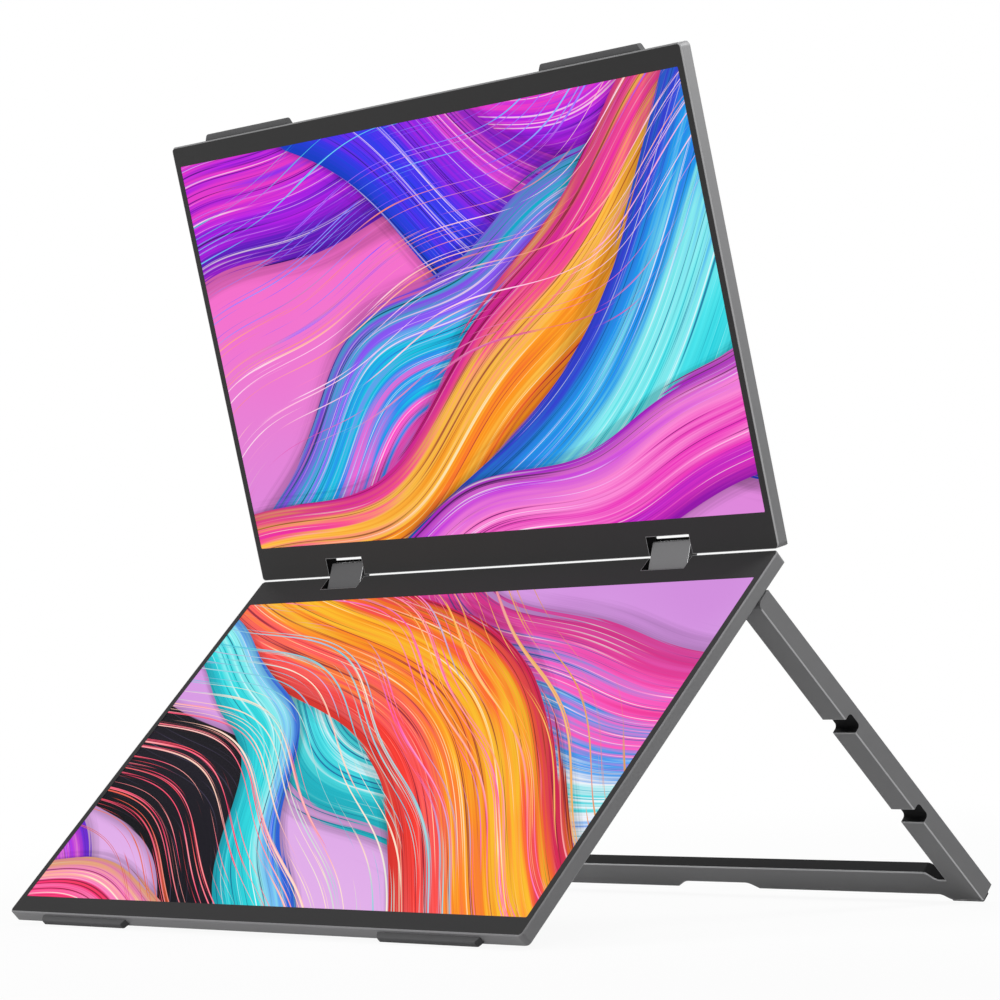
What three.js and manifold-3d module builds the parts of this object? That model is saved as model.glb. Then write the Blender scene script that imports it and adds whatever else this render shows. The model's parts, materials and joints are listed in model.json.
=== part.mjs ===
// Laptop screen extender: two 15.6 inch displays one above the other, joined by a pair of double-shaft
// hinges, on a U-shaped stand that unfolds from the back of the lower one.
// Lengths are millimetres and angles are degrees, except where a name ends in Turn, which is radians.
//
// Screen frame: x across, y away from the hinge edge, z out of the glass, z = 0 at the front face.
// Lower frame: the lower screen's own x, y up along it and z out of its glass, from its top front edge.

import * as THREE from "three";
import { mergeVertices } from "three/addons/utils/BufferGeometryUtils.js";
import Module from "manifold-3d";

const wasm = await Module();
wasm.setup();

// Both screens
const displayWidth = 344.2;
const displayHeight = 193.6;
const sideBezel = 4.15;
const hingeBezel = 15.8;
const outerBezel = 10;
const slabThickness = 6.6;
const cornerRadius = 2.4;
const rimWall = 1.4;
const rimChamfer = 0.8;
const rearWall = 0.9;
const bezelThickness = 0.8;
const panelThickness = 1.2;
const panelBorder = 2;
const boardThickness = 1;
const boardMargin = 4;
const chipHeight = 1.1;
const chipSize = 14;
const driverChipShares = [-0.7, -0.25, 0.25, 0.7];

// Clearance between pieces that seat on each other, and how far a cut runs past its solid
const fitGap = 0.3;
const overrun = 1;

// Rubber strips on the outer edges
const stripLength = 64;
const stripFromSide = 57.25;
const stripThickness = 3.3;
const stripHeight = 2.7;
const stripEndSlope = 1.8;

// Double-shaft hinges
const hingeFromSide = 65.25;
const shaftSpacing = 8.2;
const shaftFromEdge = 2;
const shaftDiameter = 2.4;
const linkWidth = 24;
const linkThickness = 5;
const linkSideGap = 1.25;
const upperCutDepth = 8.4;
const lowerCutDepth = 7.4;
const eyeWidth = 5.5;
const eyeSize = 3.8;
const leafLength = 26;
const leafReach = 12;
const leafThickness = 1;
const bendAngle = 59;

// Push button in the left edge of each screen
const buttonLength = 8;
const buttonHeight = 2.4;
const buttonTravel = 0.4;
const buttonFromEdge = 7.6;
const flangeLip = 0.6;
const flangeThickness = 0.8;
const switchLength = 3;
const buttonBoardLength = 9;

// U-shaped stand
const legWidth = 13.5;
const legThickness = 9.2;
const footFromEdge = 5.3;
const legChamfer = 0.5;
const pivotFromHinge = 22.9;
const pivotFromEnd = 3;
const pivotFromFace = 3;
const endRound = 2.6;
const openAngle = 92;
const pinDiameter = 3.2;
const pinInLeg = 9;
const notchWidth = 8.4;
const notchDepth = 4.4;
const notchRound = 1.4;
const firstNotch = 77.2;
const secondNotchFromBar = 39.8;
const barThickness = 5.4;
const barDepth = 15.5;
const barLift = 2.2;
const barDrop = 4;
const jogLength = 3.8;
const jogFromLeg = 5.2;
const fingerNotchCentre = 16.8;
const fingerNotchWidth = 53;
const fingerNotchSlope = 7.4;
const fingerNotchDepth = 4;
const padThickness = 0.9;

// Rear cover of the lower screen, between the legs
const coverFromHinge = 12;
const coverSideGap = 0.85;
const coverEndGap = 0.8;
const coverWall = 1.4;
const coverRadius = 4;
const coverChamfer = 1;
const bossRadius = 3.2;
const screwFromEnd = 8;
const screwFromSide = 21.9;
const screwDiameter = 2;
const screwHeadDiameter = 4;
const screwHeadHeight = 1;
const cableWindowWidth = 90;
const cableWindowHeight = 14;
const cableWindowFromHinge = 44;
const vents = { count: 15, pitch: 6, across: 1.6, along: 16 };
const ventsFromHinge = 60;

// Speakers and their grilles
const speakerLength = 44;
const speakerWidth = 14;
const speakerDepth = 5;
const speakerFromSide = 57.9;
const speakerFromEnd = 15;
const grille = { count: 9, pitch: 4, across: 1.4, along: 9 };

// Boards and sockets in the rear cover
const mainBoardWidth = 90;
const portBoardWidth = 30;
const portBoardMargin = 12;
const socketShell = 0.3;
const socketDepth = 7.4;
const usbWidth = 9;
const usbHeight = 3.2;
const hdmiWidth = 11.2;
const hdmiHeight = 3.2;
const socketCorner = 0.9;
const tongueThickness = 0.7;
const tongueSetback = 0.8;
const tongueSideGap = 0.9;
const jackDiameter = 5;
const jackBore = 3.5;
const jackDepth = 12;
const mainChipShares = [
  [0.35, 0.25],
  [0.35, 0.7],
  [0.7, 0.5],
];
const portChipShares = [[0.35, 0.5]];

// Menu rocker in the rear cover's left wall
const rockerFromHinge = 60;
const rockerLength = 12;
const rockerHeight = 3;
const rockerFlangeGap = 0.8;
const rockerFlangeThickness = 0.8;
const rockerFlangeLip = 0.7;
const rockerBoardWidth = 10;

// Stand brackets inside the rear cover
const standBracketWidth = 10;
const standBracketSize = 5.4;
const standLeafLength = 24;
const standLeafThickness = 1;

// Facets of round pieces and of round corners
const roundSides = 20;
const cornerSegments = 3;

// Worked out from the sizes above
const width = displayWidth + sideBezel * 2;
const height = hingeBezel + displayHeight + outerBezel;
const hingeCentre = width / 2 - hingeFromSide;
const stripCentre = width / 2 - stripFromSide;
const shaftBehindFront = slabThickness / 2;
const cutHalfWidth = linkWidth / 2 + linkSideGap;
const cavityBack = rearWall - slabThickness;
const slabBack = -slabThickness;
const coverRim = slabBack - fitGap;
const coverBack = coverRim - legThickness;
const coverInside = coverBack + coverWall;
const coverHalfWidth = width / 2 - legWidth - coverSideGap;
const coverInnerWidth = coverHalfWidth - coverWall;
const speakerCentre = coverHalfWidth - speakerFromSide;
const legEnd = pivotFromEnd - pivotFromHinge;
const legLength = height + legEnd - footFromEdge;
const barInner = legLength - barLift - barDepth;
const secondNotch = barInner - secondNotchFromBar;
const coverTop = -coverFromHinge;
const coverBottom = legEnd - barInner + coverEndGap;
const pivotY = -pivotFromHinge;
const pivotZ = coverRim - pivotFromFace;
const boardTop = coverRim - boardThickness;
const bracketEnd = hingeCentre - cutHalfWidth - rimWall - fitGap;
const degree = Math.PI / 180;
const bendTurn = bendAngle * degree;
const openTurn = openAngle * degree;
const squareTurn = Math.PI / 2;
const sides = [
  { name: "left", sign: -1 },
  { name: "right", sign: 1 },
];

const anodised = { color: 0x8b8d90, roughness: 0.5, metalness: 0.7 };
const finishes = {
  shell: anodised,
  stand: { ...anodised, color: 0x7c7e81 },
  cover: { color: 0x55575a, roughness: 0.6, metalness: 0.2 },
  bezel: { color: 0x383838, roughness: 0.55, metalness: 0 },
  panel: { color: 0xb56fc0, roughness: 0.25, metalness: 0 },
  backlight: { color: 0xdedede, roughness: 0.4, metalness: 0.3 },
  board: { color: 0x1f5a3a, roughness: 0.6, metalness: 0 },
  steel: { color: 0xa7a9ab, roughness: 0.35, metalness: 1 },
  link: { color: 0x767879, roughness: 0.45, metalness: 0.7 },
  rubber: { color: 0x3c3c3e, roughness: 0.85, metalness: 0 },
  button: { color: 0x2a2a2c, roughness: 0.5, metalness: 0 },
  socket: { color: 0xb9bbbd, roughness: 0.3, metalness: 1 },
};

// Solids

// A closed geometry as a solid, its shared corners merged.
function solid(geometry) {
  geometry.deleteAttribute("normal");
  geometry.deleteAttribute("uv");
  const merged = mergeVertices(geometry);
  return new wasm.Manifold(
    new wasm.Mesh({
      numProp: 3,
      vertProperties: merged.attributes.position.array,
      triVerts: new Uint32Array(merged.index.array),
    }),
  );
}

// A named mesh of a solid.
function part(name, body, finish) {
  const { vertProperties, triVerts } = body.getMesh();
  const geometry = new THREE.BufferGeometry();
  geometry.setAttribute("position", new THREE.BufferAttribute(vertProperties, 3));
  geometry.setIndex(new THREE.BufferAttribute(triVerts, 1));
  geometry.computeVertexNormals();
  const mesh = new THREE.Mesh(geometry, new THREE.MeshStandardMaterial(finish));
  mesh.name = name;
  return mesh;
}

// A block between two corners, given in any order along each axis.
function block([x0, x1], [y0, y1], [z0, z1]) {
  const geometry = new THREE.BoxGeometry(Math.abs(x1 - x0), Math.abs(y1 - y0), Math.abs(z1 - z0));
  geometry.translate((x0 + x1) / 2, (y0 + y1) / 2, (z0 + z1) / 2);
  return solid(geometry);
}

// The two ends of a length round its middle.
function about(middle, length) {
  return [middle - length / 2, middle + length / 2];
}

// A round rod along x.
function rod(diameter, [x0, x1], y, z) {
  const radius = diameter / 2;
  const geometry = new THREE.CylinderGeometry(radius, radius, Math.abs(x1 - x0), roundSides);
  geometry.rotateZ(squareTurn);
  geometry.translate((x0 + x1) / 2, y, z);
  return solid(geometry);
}

// A round post along z.
function post(diameter, x, y, [z0, z1]) {
  const radius = diameter / 2;
  const geometry = new THREE.CylinderGeometry(radius, radius, Math.abs(z1 - z0), roundSides);
  geometry.rotateX(squareTurn);
  geometry.translate(x, y, (z0 + z1) / 2);
  return solid(geometry);
}

// An outline extruded from zero to a depth, with the edges of both ends chamfered inside its size.
function extruded(outline, depth, chamfer) {
  const geometry = new THREE.ExtrudeGeometry(outline, {
    depth: depth - chamfer * 2,
    bevelEnabled: chamfer > 0,
    bevelThickness: chamfer,
    bevelSize: chamfer,
    bevelOffset: -chamfer,
    bevelSegments: 1,
    curveSegments: cornerSegments,
  });
  geometry.translate(0, 0, chamfer);
  return geometry;
}

// A plate with its outline in x and y.
function plate(outline, [z0, z1], chamfer = 0) {
  const geometry = extruded(outline, z1 - z0, chamfer);
  geometry.translate(0, 0, z0);
  return solid(geometry);
}

// A bar with its outline in y and z, running along x.
function bar(outline, [x0, x1], chamfer = 0) {
  const geometry = extruded(outline, Math.abs(x1 - x0), chamfer);
  const axes = [new THREE.Vector3(0, 1, 0), new THREE.Vector3(0, 0, 1), new THREE.Vector3(1, 0, 0)];
  geometry.applyMatrix4(new THREE.Matrix4().makeBasis(...axes));
  geometry.translate(Math.min(x0, x1), 0, 0);
  return solid(geometry);
}

// A rectangle with round corners.
function roundedRectangle([x0, x1], [y0, y1], radius) {
  const outline = new THREE.Shape();
  outline.moveTo(x0 + radius, y0);
  outline.lineTo(x1 - radius, y0);
  outline.absarc(x1 - radius, y0 + radius, radius, -squareTurn, 0);
  outline.lineTo(x1, y1 - radius);
  outline.absarc(x1 - radius, y1 - radius, radius, 0, squareTurn);
  outline.lineTo(x0 + radius, y1);
  outline.absarc(x0 + radius, y1 - radius, radius, squareTurn, squareTurn * 2);
  outline.lineTo(x0, y0 + radius);
  outline.absarc(x0 + radius, y0 + radius, radius, squareTurn * 2, squareTurn * 3);
  return outline;
}

// Screens

// The outline of a screen with its two hinge cut-outs, drawn inside the real one by an inset.
function screenOutline(cutDepth, inset) {
  const right = width / 2 - inset;
  const left = -right;
  const top = height - inset;
  const radius = Math.max(cornerRadius - inset, fitGap);
  const outline = new THREE.Shape();
  outline.moveTo(left + radius, inset);
  for (const { sign } of sides) {
    const [from, to] = about(sign * hingeCentre, (cutHalfWidth + inset) * 2);
    outline.lineTo(from, inset);
    outline.lineTo(from, cutDepth + inset);
    outline.lineTo(to, cutDepth + inset);
    outline.lineTo(to, inset);
  }
  outline.lineTo(right - radius, inset);
  outline.absarc(right - radius, inset + radius, radius, -squareTurn, 0);
  outline.lineTo(right, top - radius);
  outline.absarc(right - radius, top - radius, radius, 0, squareTurn);
  outline.lineTo(left + radius, top);
  outline.absarc(left + radius, top - radius, radius, squareTurn, squareTurn * 2);
  outline.lineTo(left, inset + radius);
  outline.absarc(left + radius, inset + radius, radius, squareTurn * 2, squareTurn * 3);
  return outline;
}

// The push button's face in y and z, grown on every side.
function buttonOutline(grow) {
  const across = about(buttonFromEdge, (buttonLength / 2 + grow) * 2);
  const thick = about(-shaftBehindFront, (buttonHeight / 2 + grow) * 2);
  return roundedRectangle(across, thick, buttonHeight / 2);
}

// The tray that holds a screen: rear wall and rim in one, open in front, notched for the hinges.
function rearShell(cutDepth, buttonSign) {
  let shell = plate(screenOutline(cutDepth, 0), [slabBack, 0], rimChamfer);
  shell = shell.subtract(plate(screenOutline(cutDepth, rimWall), [cavityBack, overrun]));
  for (const { sign } of sides) {
    const shaftRun = about(sign * hingeCentre, (cutHalfWidth + rimWall + fitGap) * 2);
    const bore = rod(shaftDiameter + fitGap * 2, shaftRun, shaftFromEdge, -shaftBehindFront);
    const window = block(
      [sign * (bracketEnd + fitGap), sign * (bracketEnd - eyeWidth - fitGap)],
      [-overrun, shaftFromEdge + eyeSize / 2 + fitGap],
      about(-shaftBehindFront, eyeSize + fitGap * 2),
    );
    shell = shell.subtract(bore).subtract(window);
  }
  const buttonRun = [buttonSign * (width / 2 - rimWall - overrun), buttonSign * (width / 2 + overrun)];
  return shell.subtract(bar(buttonOutline(fitGap), buttonRun));
}

// The dark frame round the picture, set inside the rim.
function frontBezel(cutDepth) {
  const outline = screenOutline(cutDepth, rimWall + fitGap);
  const window = block(
    about(0, displayWidth),
    [hingeBezel, hingeBezel + displayHeight],
    [-bezelThickness - overrun, overrun],
  );
  return plate(outline, [-bezelThickness, 0]).subtract(window);
}

// The glass panel behind the bezel.
const panelFront = -bezelThickness - fitGap;
const panelBack = panelFront - panelThickness;
const panelAcross = about(0, displayWidth + panelBorder * 2);
const panelUp = [hingeBezel - panelBorder, hingeBezel + displayHeight + panelBorder];

function displayPanel() {
  return block(panelAcross, panelUp, [panelBack, panelFront]);
}

// The light guide in its tray, between the panel and the rear wall.
function backlight() {
  return block(panelAcross, panelUp, [cavityBack + fitGap, panelBack - fitGap]);
}

// The panel's drive board, in the band between the hinges, with its row of chips.
function panelBoard() {
  const halfLength = bracketEnd - leafLength - boardMargin;
  const up = [rimWall + fitGap, panelUp[0] - fitGap];
  const back = cavityBack + fitGap;
  const front = back + boardThickness;
  let board = block([-halfLength, halfLength], up, [back, front]);
  for (const share of driverChipShares) {
    const chipUp = about((up[0] + up[1]) / 2, (up[1] - up[0]) / 2);
    const chip = block(about(share * halfLength, chipSize), chipUp, [back, front + chipHeight]);
    board = board.add(chip);
  }
  return board;
}

// The steel bracket that holds the fixed end of a hinge shaft: an eye on a leaf against the rear wall.
function hingeBracket(sign) {
  const eye = block(
    [sign * bracketEnd, sign * (bracketEnd - eyeWidth)],
    about(shaftFromEdge, eyeSize),
    about(-shaftBehindFront, eyeSize),
  );
  const leafBack = cavityBack + fitGap;
  const leaf = block(
    [sign * bracketEnd, sign * (bracketEnd - leafLength)],
    [rimWall + fitGap, leafReach],
    [leafBack, leafBack + leafThickness],
  );
  const boreRun = [sign * (bracketEnd + overrun), sign * (bracketEnd - eyeWidth - overrun)];
  const bore = rod(shaftDiameter + fitGap * 2, boreRun, shaftFromEdge, -shaftBehindFront);
  return eye.add(leaf).subtract(bore);
}

// A hinge shaft, from the bracket's eye through the link to the far wall of the cut-out.
function hingeShaft(sign) {
  const run = [
    sign * (bracketEnd - eyeWidth),
    sign * (hingeCentre + cutHalfWidth + rimWall),
  ];
  return rod(shaftDiameter, run, shaftFromEdge, -shaftBehindFront);
}

// A rubber strip on the outer edge.
function edgeStrip(sign) {
  const [from, to] = about(sign * stripCentre, stripLength);
  const seat = height + fitGap;
  const crown = seat + stripHeight;
  const outline = new THREE.Shape();
  outline.moveTo(from, seat);
  outline.lineTo(to, seat);
  outline.lineTo(to - stripEndSlope, crown);
  outline.lineTo(from + stripEndSlope, crown);
  return plate(outline, about(-shaftBehindFront, stripThickness));
}

// The push button, flush with the rim, with the flange that keeps it behind the wall.
const flangeOuter = width / 2 - rimWall - fitGap;
const flangeInner = flangeOuter - flangeThickness;

function powerButton(sign) {
  const cap = bar(buttonOutline(0), [sign * flangeInner, (sign * width) / 2]);
  const flange = bar(buttonOutline(flangeLip), [sign * flangeInner, sign * flangeOuter]);
  return cap.add(flange);
}

// The button's small board with its switch.
function buttonBoard(sign) {
  const face = flangeInner - buttonTravel - fitGap;
  const back = cavityBack + fitGap;
  const across = about(buttonFromEdge, buttonLength);
  const boardRun = [sign * face, sign * (face - buttonBoardLength)];
  const board = block(boardRun, across, [back, back + boardThickness]);
  const tact = block(
    [sign * face, sign * (face - switchLength)],
    about(buttonFromEdge, buttonLength / 2),
    [back, buttonHeight / 2 - shaftBehindFront],
  );
  return board.add(tact);
}

// Every piece of one screen. The lower screen is turned end for end, so its left is the other way.
function screenPieces(prefix, cutDepth, turned, cutShell) {
  const facing = turned ? -1 : 1;
  const buttonSign = -facing;
  const pieces = new THREE.Group();
  pieces.add(
    part(`${prefix}_rear_shell`, cutShell(rearShell(cutDepth, buttonSign)), finishes.shell),
    part(`${prefix}_front_bezel`, frontBezel(cutDepth), finishes.bezel),
    part(`${prefix}_display_panel`, displayPanel(), finishes.panel),
    part(`${prefix}_backlight`, backlight(), finishes.backlight),
    part(`${prefix}_panel_board`, panelBoard(), finishes.board),
    part(`${prefix}_power_button`, powerButton(buttonSign), finishes.button),
    part(`${prefix}_button_board`, buttonBoard(buttonSign), finishes.board),
  );
  for (const { name, sign } of sides) {
    const side = sign * facing;
    pieces.add(
      part(`${prefix}_hinge_bracket_${name}`, hingeBracket(side), finishes.steel),
      part(`${prefix}_hinge_shaft_${name}`, hingeShaft(side), finishes.steel),
      part(`${prefix}_edge_strip_${name}`, edgeStrip(side), finishes.rubber),
    );
  }
  return pieces;
}

// Hinge links

// A link between the lower shaft, at the origin, and the upper one along y.
function hingeLink(sign) {
  const radius = linkThickness / 2;
  const outline = new THREE.Shape();
  outline.absarc(0, 0, radius, squareTurn, squareTurn * 3);
  outline.absarc(shaftSpacing, 0, radius, -squareTurn, squareTurn);
  let link = bar(outline, about(sign * hingeCentre, linkWidth));
  const boreRun = about(sign * hingeCentre, linkWidth + overrun);
  for (const y of [0, shaftSpacing]) {
    link = link.subtract(rod(shaftDiameter + fitGap * 2, boreRun, y, 0));
  }
  return link;
}

// Rear cover of the lower screen and what it holds, in the lower frame

const screwPlaces = [];
const screwAcross = coverHalfWidth - screwFromSide;
for (const y of [coverTop - screwFromEnd, coverBottom + screwFromEnd]) {
  for (const x of [-screwAcross, 0, screwAcross]) screwPlaces.push([x, y]);
}

const socketRun = (sign, depth) => [sign * (coverHalfWidth - fitGap), sign * (coverHalfWidth - depth)];
const socketZ = boardTop - fitGap - usbHeight / 2;
const jackZ = boardTop - fitGap - jackDiameter / 2;
const firstSocketY = legEnd - firstNotch;
const secondSocketY = legEnd - secondNotch;

// A socket's face in y and z, grown on every side.
function socketOutline(y, [wide, high], grow) {
  const radius = Math.min(high / 2, socketCorner) + Math.max(grow, 0);
  const across = about(y, (wide / 2 + grow) * 2);
  return roundedRectangle(across, about(socketZ, (high / 2 + grow) * 2), radius);
}

// A thin-walled socket with its contact tongue, its mouth at the cover's side wall.
function flatSocket(sign, y, [wide, high]) {
  const [mouth, back] = socketRun(sign, socketDepth);
  const shell = bar(socketOutline(y, [wide, high], 0), [mouth, back]);
  const hollow = bar(socketOutline(y, [wide, high], -socketShell), [
    mouth + sign * overrun,
    back + sign * tongueSetback,
  ]);
  const tongue = block(
    [mouth - sign * tongueSetback, back],
    about(y, wide - (socketShell + tongueSideGap) * 2),
    about(socketZ, tongueThickness),
  );
  return shell.subtract(hollow).add(tongue);
}

// The round headphone socket.
function headphoneJack(sign, y) {
  const [mouth, back] = socketRun(sign, jackDepth);
  const barrel = rod(jackDiameter, [mouth, back], y, jackZ);
  const bore = rod(jackBore, [mouth + sign * overrun, back + sign * tongueSetback], y, jackZ);
  return barrel.subtract(bore);
}

// The rocker's outer face in y and z, grown on every side. Its flange clears the board.
const rockerZ = boardTop - fitGap - rockerFlangeLip - rockerHeight / 2;

function rockerOutline(grow) {
  const across = about(-rockerFromHinge, (rockerLength / 2 + grow) * 2);
  const high = about(rockerZ, (rockerHeight / 2 + grow) * 2);
  return roundedRectangle(across, high, rockerHeight / 2);
}

// The menu rocker: its face in the wall, a neck, and the flange behind the wall.
const rockerFlangeOuter = coverInnerWidth - rockerFlangeGap;
const rockerFlangeInner = rockerFlangeOuter - rockerFlangeThickness;

function menuRocker(sign) {
  const face = bar(rockerOutline(0), [sign * rockerFlangeInner, sign * coverHalfWidth]);
  const flange = bar(rockerOutline(rockerFlangeLip), [
    sign * rockerFlangeInner,
    sign * rockerFlangeOuter,
  ]);
  return face.add(flange);
}

// Slots through the rear wall of the cover, in a row across.
function slotRow([middle, y], { count, pitch, across, along }) {
  const through = [coverBack - overrun, coverInside + overrun];
  const slots = [];
  for (let i = 0; i < count; i += 1) {
    const x = middle + (i - (count - 1) / 2) * pitch;
    slots.push(block(about(x, across), about(y, along), through));
  }
  return slots;
}

// The raised housing on the back of the lower screen, open towards it.
function rearCover() {
  const across = about(0, coverHalfWidth * 2);
  const up = [coverBottom, coverTop];
  const trimmed = coverRim + coverChamfer * 2;
  const outside = plate(roundedRectangle(across, up, coverRadius), [coverBack, trimmed], coverChamfer);
  const above = block(
    about(0, (coverHalfWidth + overrun) * 2),
    [coverBottom - overrun, coverTop + overrun],
    [coverRim, trimmed + overrun],
  );
  const inside = roundedRectangle(
    about(0, coverInnerWidth * 2),
    [coverBottom + coverWall, coverTop - coverWall],
    Math.max(coverRadius - coverWall, fitGap),
  );
  let cover = outside.subtract(above).subtract(plate(inside, [coverInside, coverRim + overrun]));
  for (const [x, y] of screwPlaces) {
    cover = cover.add(post(bossRadius * 2, x, y, [coverInside - coverWall / 2, coverRim]));
    const shank = post(screwDiameter + fitGap * 2, x, y, [coverBack - overrun, coverRim + overrun]);
    const headSeat = coverBack + fitGap + screwHeadHeight + fitGap;
    const head = post(screwHeadDiameter + fitGap * 2, x, y, [coverBack - overrun, headSeat]);
    cover = cover.subtract(shank).subtract(head);
  }
  for (const { sign } of sides) {
    const wallRun = [sign * (coverInnerWidth - overrun), sign * (coverHalfWidth + overrun)];
    cover = cover.subtract(rod(pinDiameter + fitGap * 2, wallRun, pivotY, pivotZ));
    const sockets =
      sign < 0
        ? [
            bar(socketOutline(firstSocketY, [usbWidth, usbHeight], fitGap), wallRun),
            bar(socketOutline(secondSocketY, [usbWidth, usbHeight], fitGap), wallRun),
            bar(rockerOutline(fitGap), wallRun),
          ]
        : [
            bar(socketOutline(firstSocketY, [hdmiWidth, hdmiHeight], fitGap), wallRun),
            rod(jackDiameter + fitGap * 2, wallRun, secondSocketY, jackZ),
          ];
    const grilleSlots = slotRow([sign * speakerCentre, coverBottom + speakerFromEnd], grille);
    for (const cut of [...sockets, ...grilleSlots]) cover = cover.subtract(cut);
  }
  for (const vent of slotRow([0, -ventsFromHinge], vents)) cover = cover.subtract(vent);
  return cover;
}

// One countersunk screw of the rear cover.
function coverScrew([x, y]) {
  const headBack = coverBack + fitGap;
  const head = post(screwHeadDiameter, x, y, [headBack, headBack + screwHeadHeight]);
  const shank = post(screwDiameter, x, y, [headBack, (slabBack + cavityBack) / 2]);
  return head.add(shank);
}

// A flat board on the slab's back with square chips on it.
function chippedBoard([x0, x1], [y0, y1], chipShares) {
  let board = block([x0, x1], [y0, y1], [boardTop, coverRim]);
  for (const [acrossShare, upShare] of chipShares) {
    const x = x0 + (x1 - x0) * acrossShare;
    const y = y0 + (y1 - y0) * upShare;
    const chip = block(about(x, chipSize), about(y, chipSize), [boardTop - chipHeight, coverRim]);
    board = board.add(chip);
  }
  return board;
}

const boardUp = [secondSocketY - portBoardMargin, firstSocketY + portBoardMargin];
const boardEdge = coverInnerWidth - fitGap;

// The main board, with a tab up to the rocker's switch.
function mainBoard() {
  const board = chippedBoard([-boardEdge, mainBoardWidth - boardEdge], boardUp, mainChipShares);
  const tabTop = -rockerFromHinge + rockerLength / 2;
  const tab = block([-boardEdge, rockerBoardWidth - boardEdge], [boardUp[0], tabTop], [boardTop, coverRim]);
  return board.add(tab);
}

// The small board behind the sockets on the right.
function portBoard() {
  return chippedBoard([boardEdge - portBoardWidth, boardEdge], boardUp, portChipShares);
}

function speaker(sign) {
  return block(
    about(sign * speakerCentre, speakerLength),
    about(coverBottom + speakerFromEnd, speakerWidth),
    [coverInside + fitGap, coverInside + fitGap + speakerDepth],
  );
}

// The friction hinge body of one stand leg: an eye for the pin on a leaf against the slab.
function standBracket(sign) {
  const outer = boardEdge;
  const eye = block(
    [sign * outer, sign * (outer - standBracketWidth)],
    about(pivotY, standBracketSize),
    [pivotZ - standBracketSize / 2, coverRim],
  );
  const leaf = block(
    [sign * outer, sign * (outer - standBracketWidth)],
    [pivotY - standLeafLength, pivotY],
    [coverRim - standLeafThickness, coverRim],
  );
  const boreRun = [sign * (outer + overrun), sign * (outer - standBracketWidth - overrun)];
  return eye.add(leaf).subtract(rod(pinDiameter + fitGap * 2, boreRun, pivotY, pivotZ));
}

// Holes in the lower shell's rear wall: the cable window and the cover's screws.
function cutLowerShell(shell) {
  const through = [slabBack - overrun, cavityBack + overrun];
  const windowUp = about(cableWindowFromHinge, cableWindowHeight);
  let cut = shell.subtract(block(about(0, cableWindowWidth), windowUp, through));
  for (const [x, y] of screwPlaces) {
    cut = cut.subtract(post(screwDiameter + fitGap * 2, x, -y, through));
  }
  return cut;
}

// Stand, folded, in a frame on its pivot axis

const legTop = pivotFromEnd;
const legBottom = pivotFromEnd - legLength;
const legFront = pivotFromFace;
const legBack = pivotFromFace - legThickness;
const legInner = width / 2 - legWidth;

// The leg's side outline in y and z. Its square end is bevelled to lie on the slab at full opening.
function legOutline() {
  const bevel = (legThickness - endRound) * Math.tan(openTurn - squareTurn);
  const outline = new THREE.Shape();
  outline.moveTo(legBottom, legBack);
  outline.lineTo(legTop - bevel, legBack);
  outline.lineTo(legTop, legFront - endRound);
  outline.absarc(legTop - endRound, legFront - endRound, endRound, 0, squareTurn);
  for (const distance of [firstNotch, secondNotch]) {
    const [low, high] = about(legTop - distance, notchWidth);
    const floor = legFront - notchDepth;
    outline.lineTo(high, legFront);
    outline.lineTo(high, floor + notchRound);
    outline.absarc(high - notchRound, floor + notchRound, notchRound, 0, -squareTurn, true);
    outline.lineTo(low + notchRound, floor);
    outline.absarc(low + notchRound, floor + notchRound, notchRound, -squareTurn, -squareTurn * 2, true);
    outline.lineTo(low, legFront);
  }
  outline.lineTo(legBottom, legFront);
  return outline;
}

// The crossbar in x and y: thinner than the legs, raised clear of the table between two feet, with an
// off-centre finger notch in its lower edge.
function barOutline() {
  const end = width / 2 - legWidth / 2;
  const jogOuter = legInner - jogFromLeg;
  const jogInner = jogOuter - jogLength;
  const jogMiddle = (jogOuter + jogInner) / 2;
  const innerMiddle = legTop - barInner;
  const innerEnd = innerMiddle - barDrop;
  const outerMiddle = innerMiddle - barDepth;
  const notchFloor = outerMiddle + fingerNotchDepth;
  const [lipLeft, lipRight] = about(fingerNotchCentre, fingerNotchWidth);
  const outline = new THREE.Shape();
  outline.moveTo(-end, legBottom);
  outline.lineTo(-jogOuter, legBottom);
  outline.bezierCurveTo(-jogMiddle, legBottom, -jogMiddle, outerMiddle, -jogInner, outerMiddle);
  outline.lineTo(lipLeft, outerMiddle);
  outline.lineTo(lipLeft + fingerNotchSlope, notchFloor);
  outline.lineTo(lipRight - fingerNotchSlope, notchFloor);
  outline.lineTo(lipRight, outerMiddle);
  outline.lineTo(jogInner, outerMiddle);
  outline.bezierCurveTo(jogMiddle, outerMiddle, jogMiddle, legBottom, jogOuter, legBottom);
  outline.lineTo(end, legBottom);
  outline.lineTo(end, innerEnd);
  outline.lineTo(jogOuter, innerEnd);
  outline.bezierCurveTo(jogMiddle, innerEnd, jogMiddle, innerMiddle, jogInner, innerMiddle);
  outline.lineTo(-jogInner, innerMiddle);
  outline.bezierCurveTo(-jogMiddle, innerMiddle, -jogMiddle, innerEnd, -jogOuter, innerEnd);
  outline.lineTo(-end, innerEnd);
  return outline;
}

function standFrame() {
  let frame = plate(barOutline(), [legFront - barThickness, legFront], legChamfer);
  for (const { sign } of sides) {
    frame = frame.add(bar(legOutline(), [(sign * width) / 2, sign * legInner], legChamfer));
  }
  for (const { sign } of sides) {
    const boreRun = [sign * (legInner - overrun), sign * (legInner + pinInLeg + fitGap)];
    frame = frame.subtract(rod(pinDiameter + fitGap * 2, boreRun, 0, 0));
  }
  return frame;
}

// The pin that turns with a leg in its bracket.
function pivotPin(sign) {
  return rod(pinDiameter, [sign * (boardEdge - standBracketWidth), sign * (legInner + pinInLeg)], 0, 0);
}

// The rubber pad under one foot.
const padEnd = legBottom - fitGap - padThickness;

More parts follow.
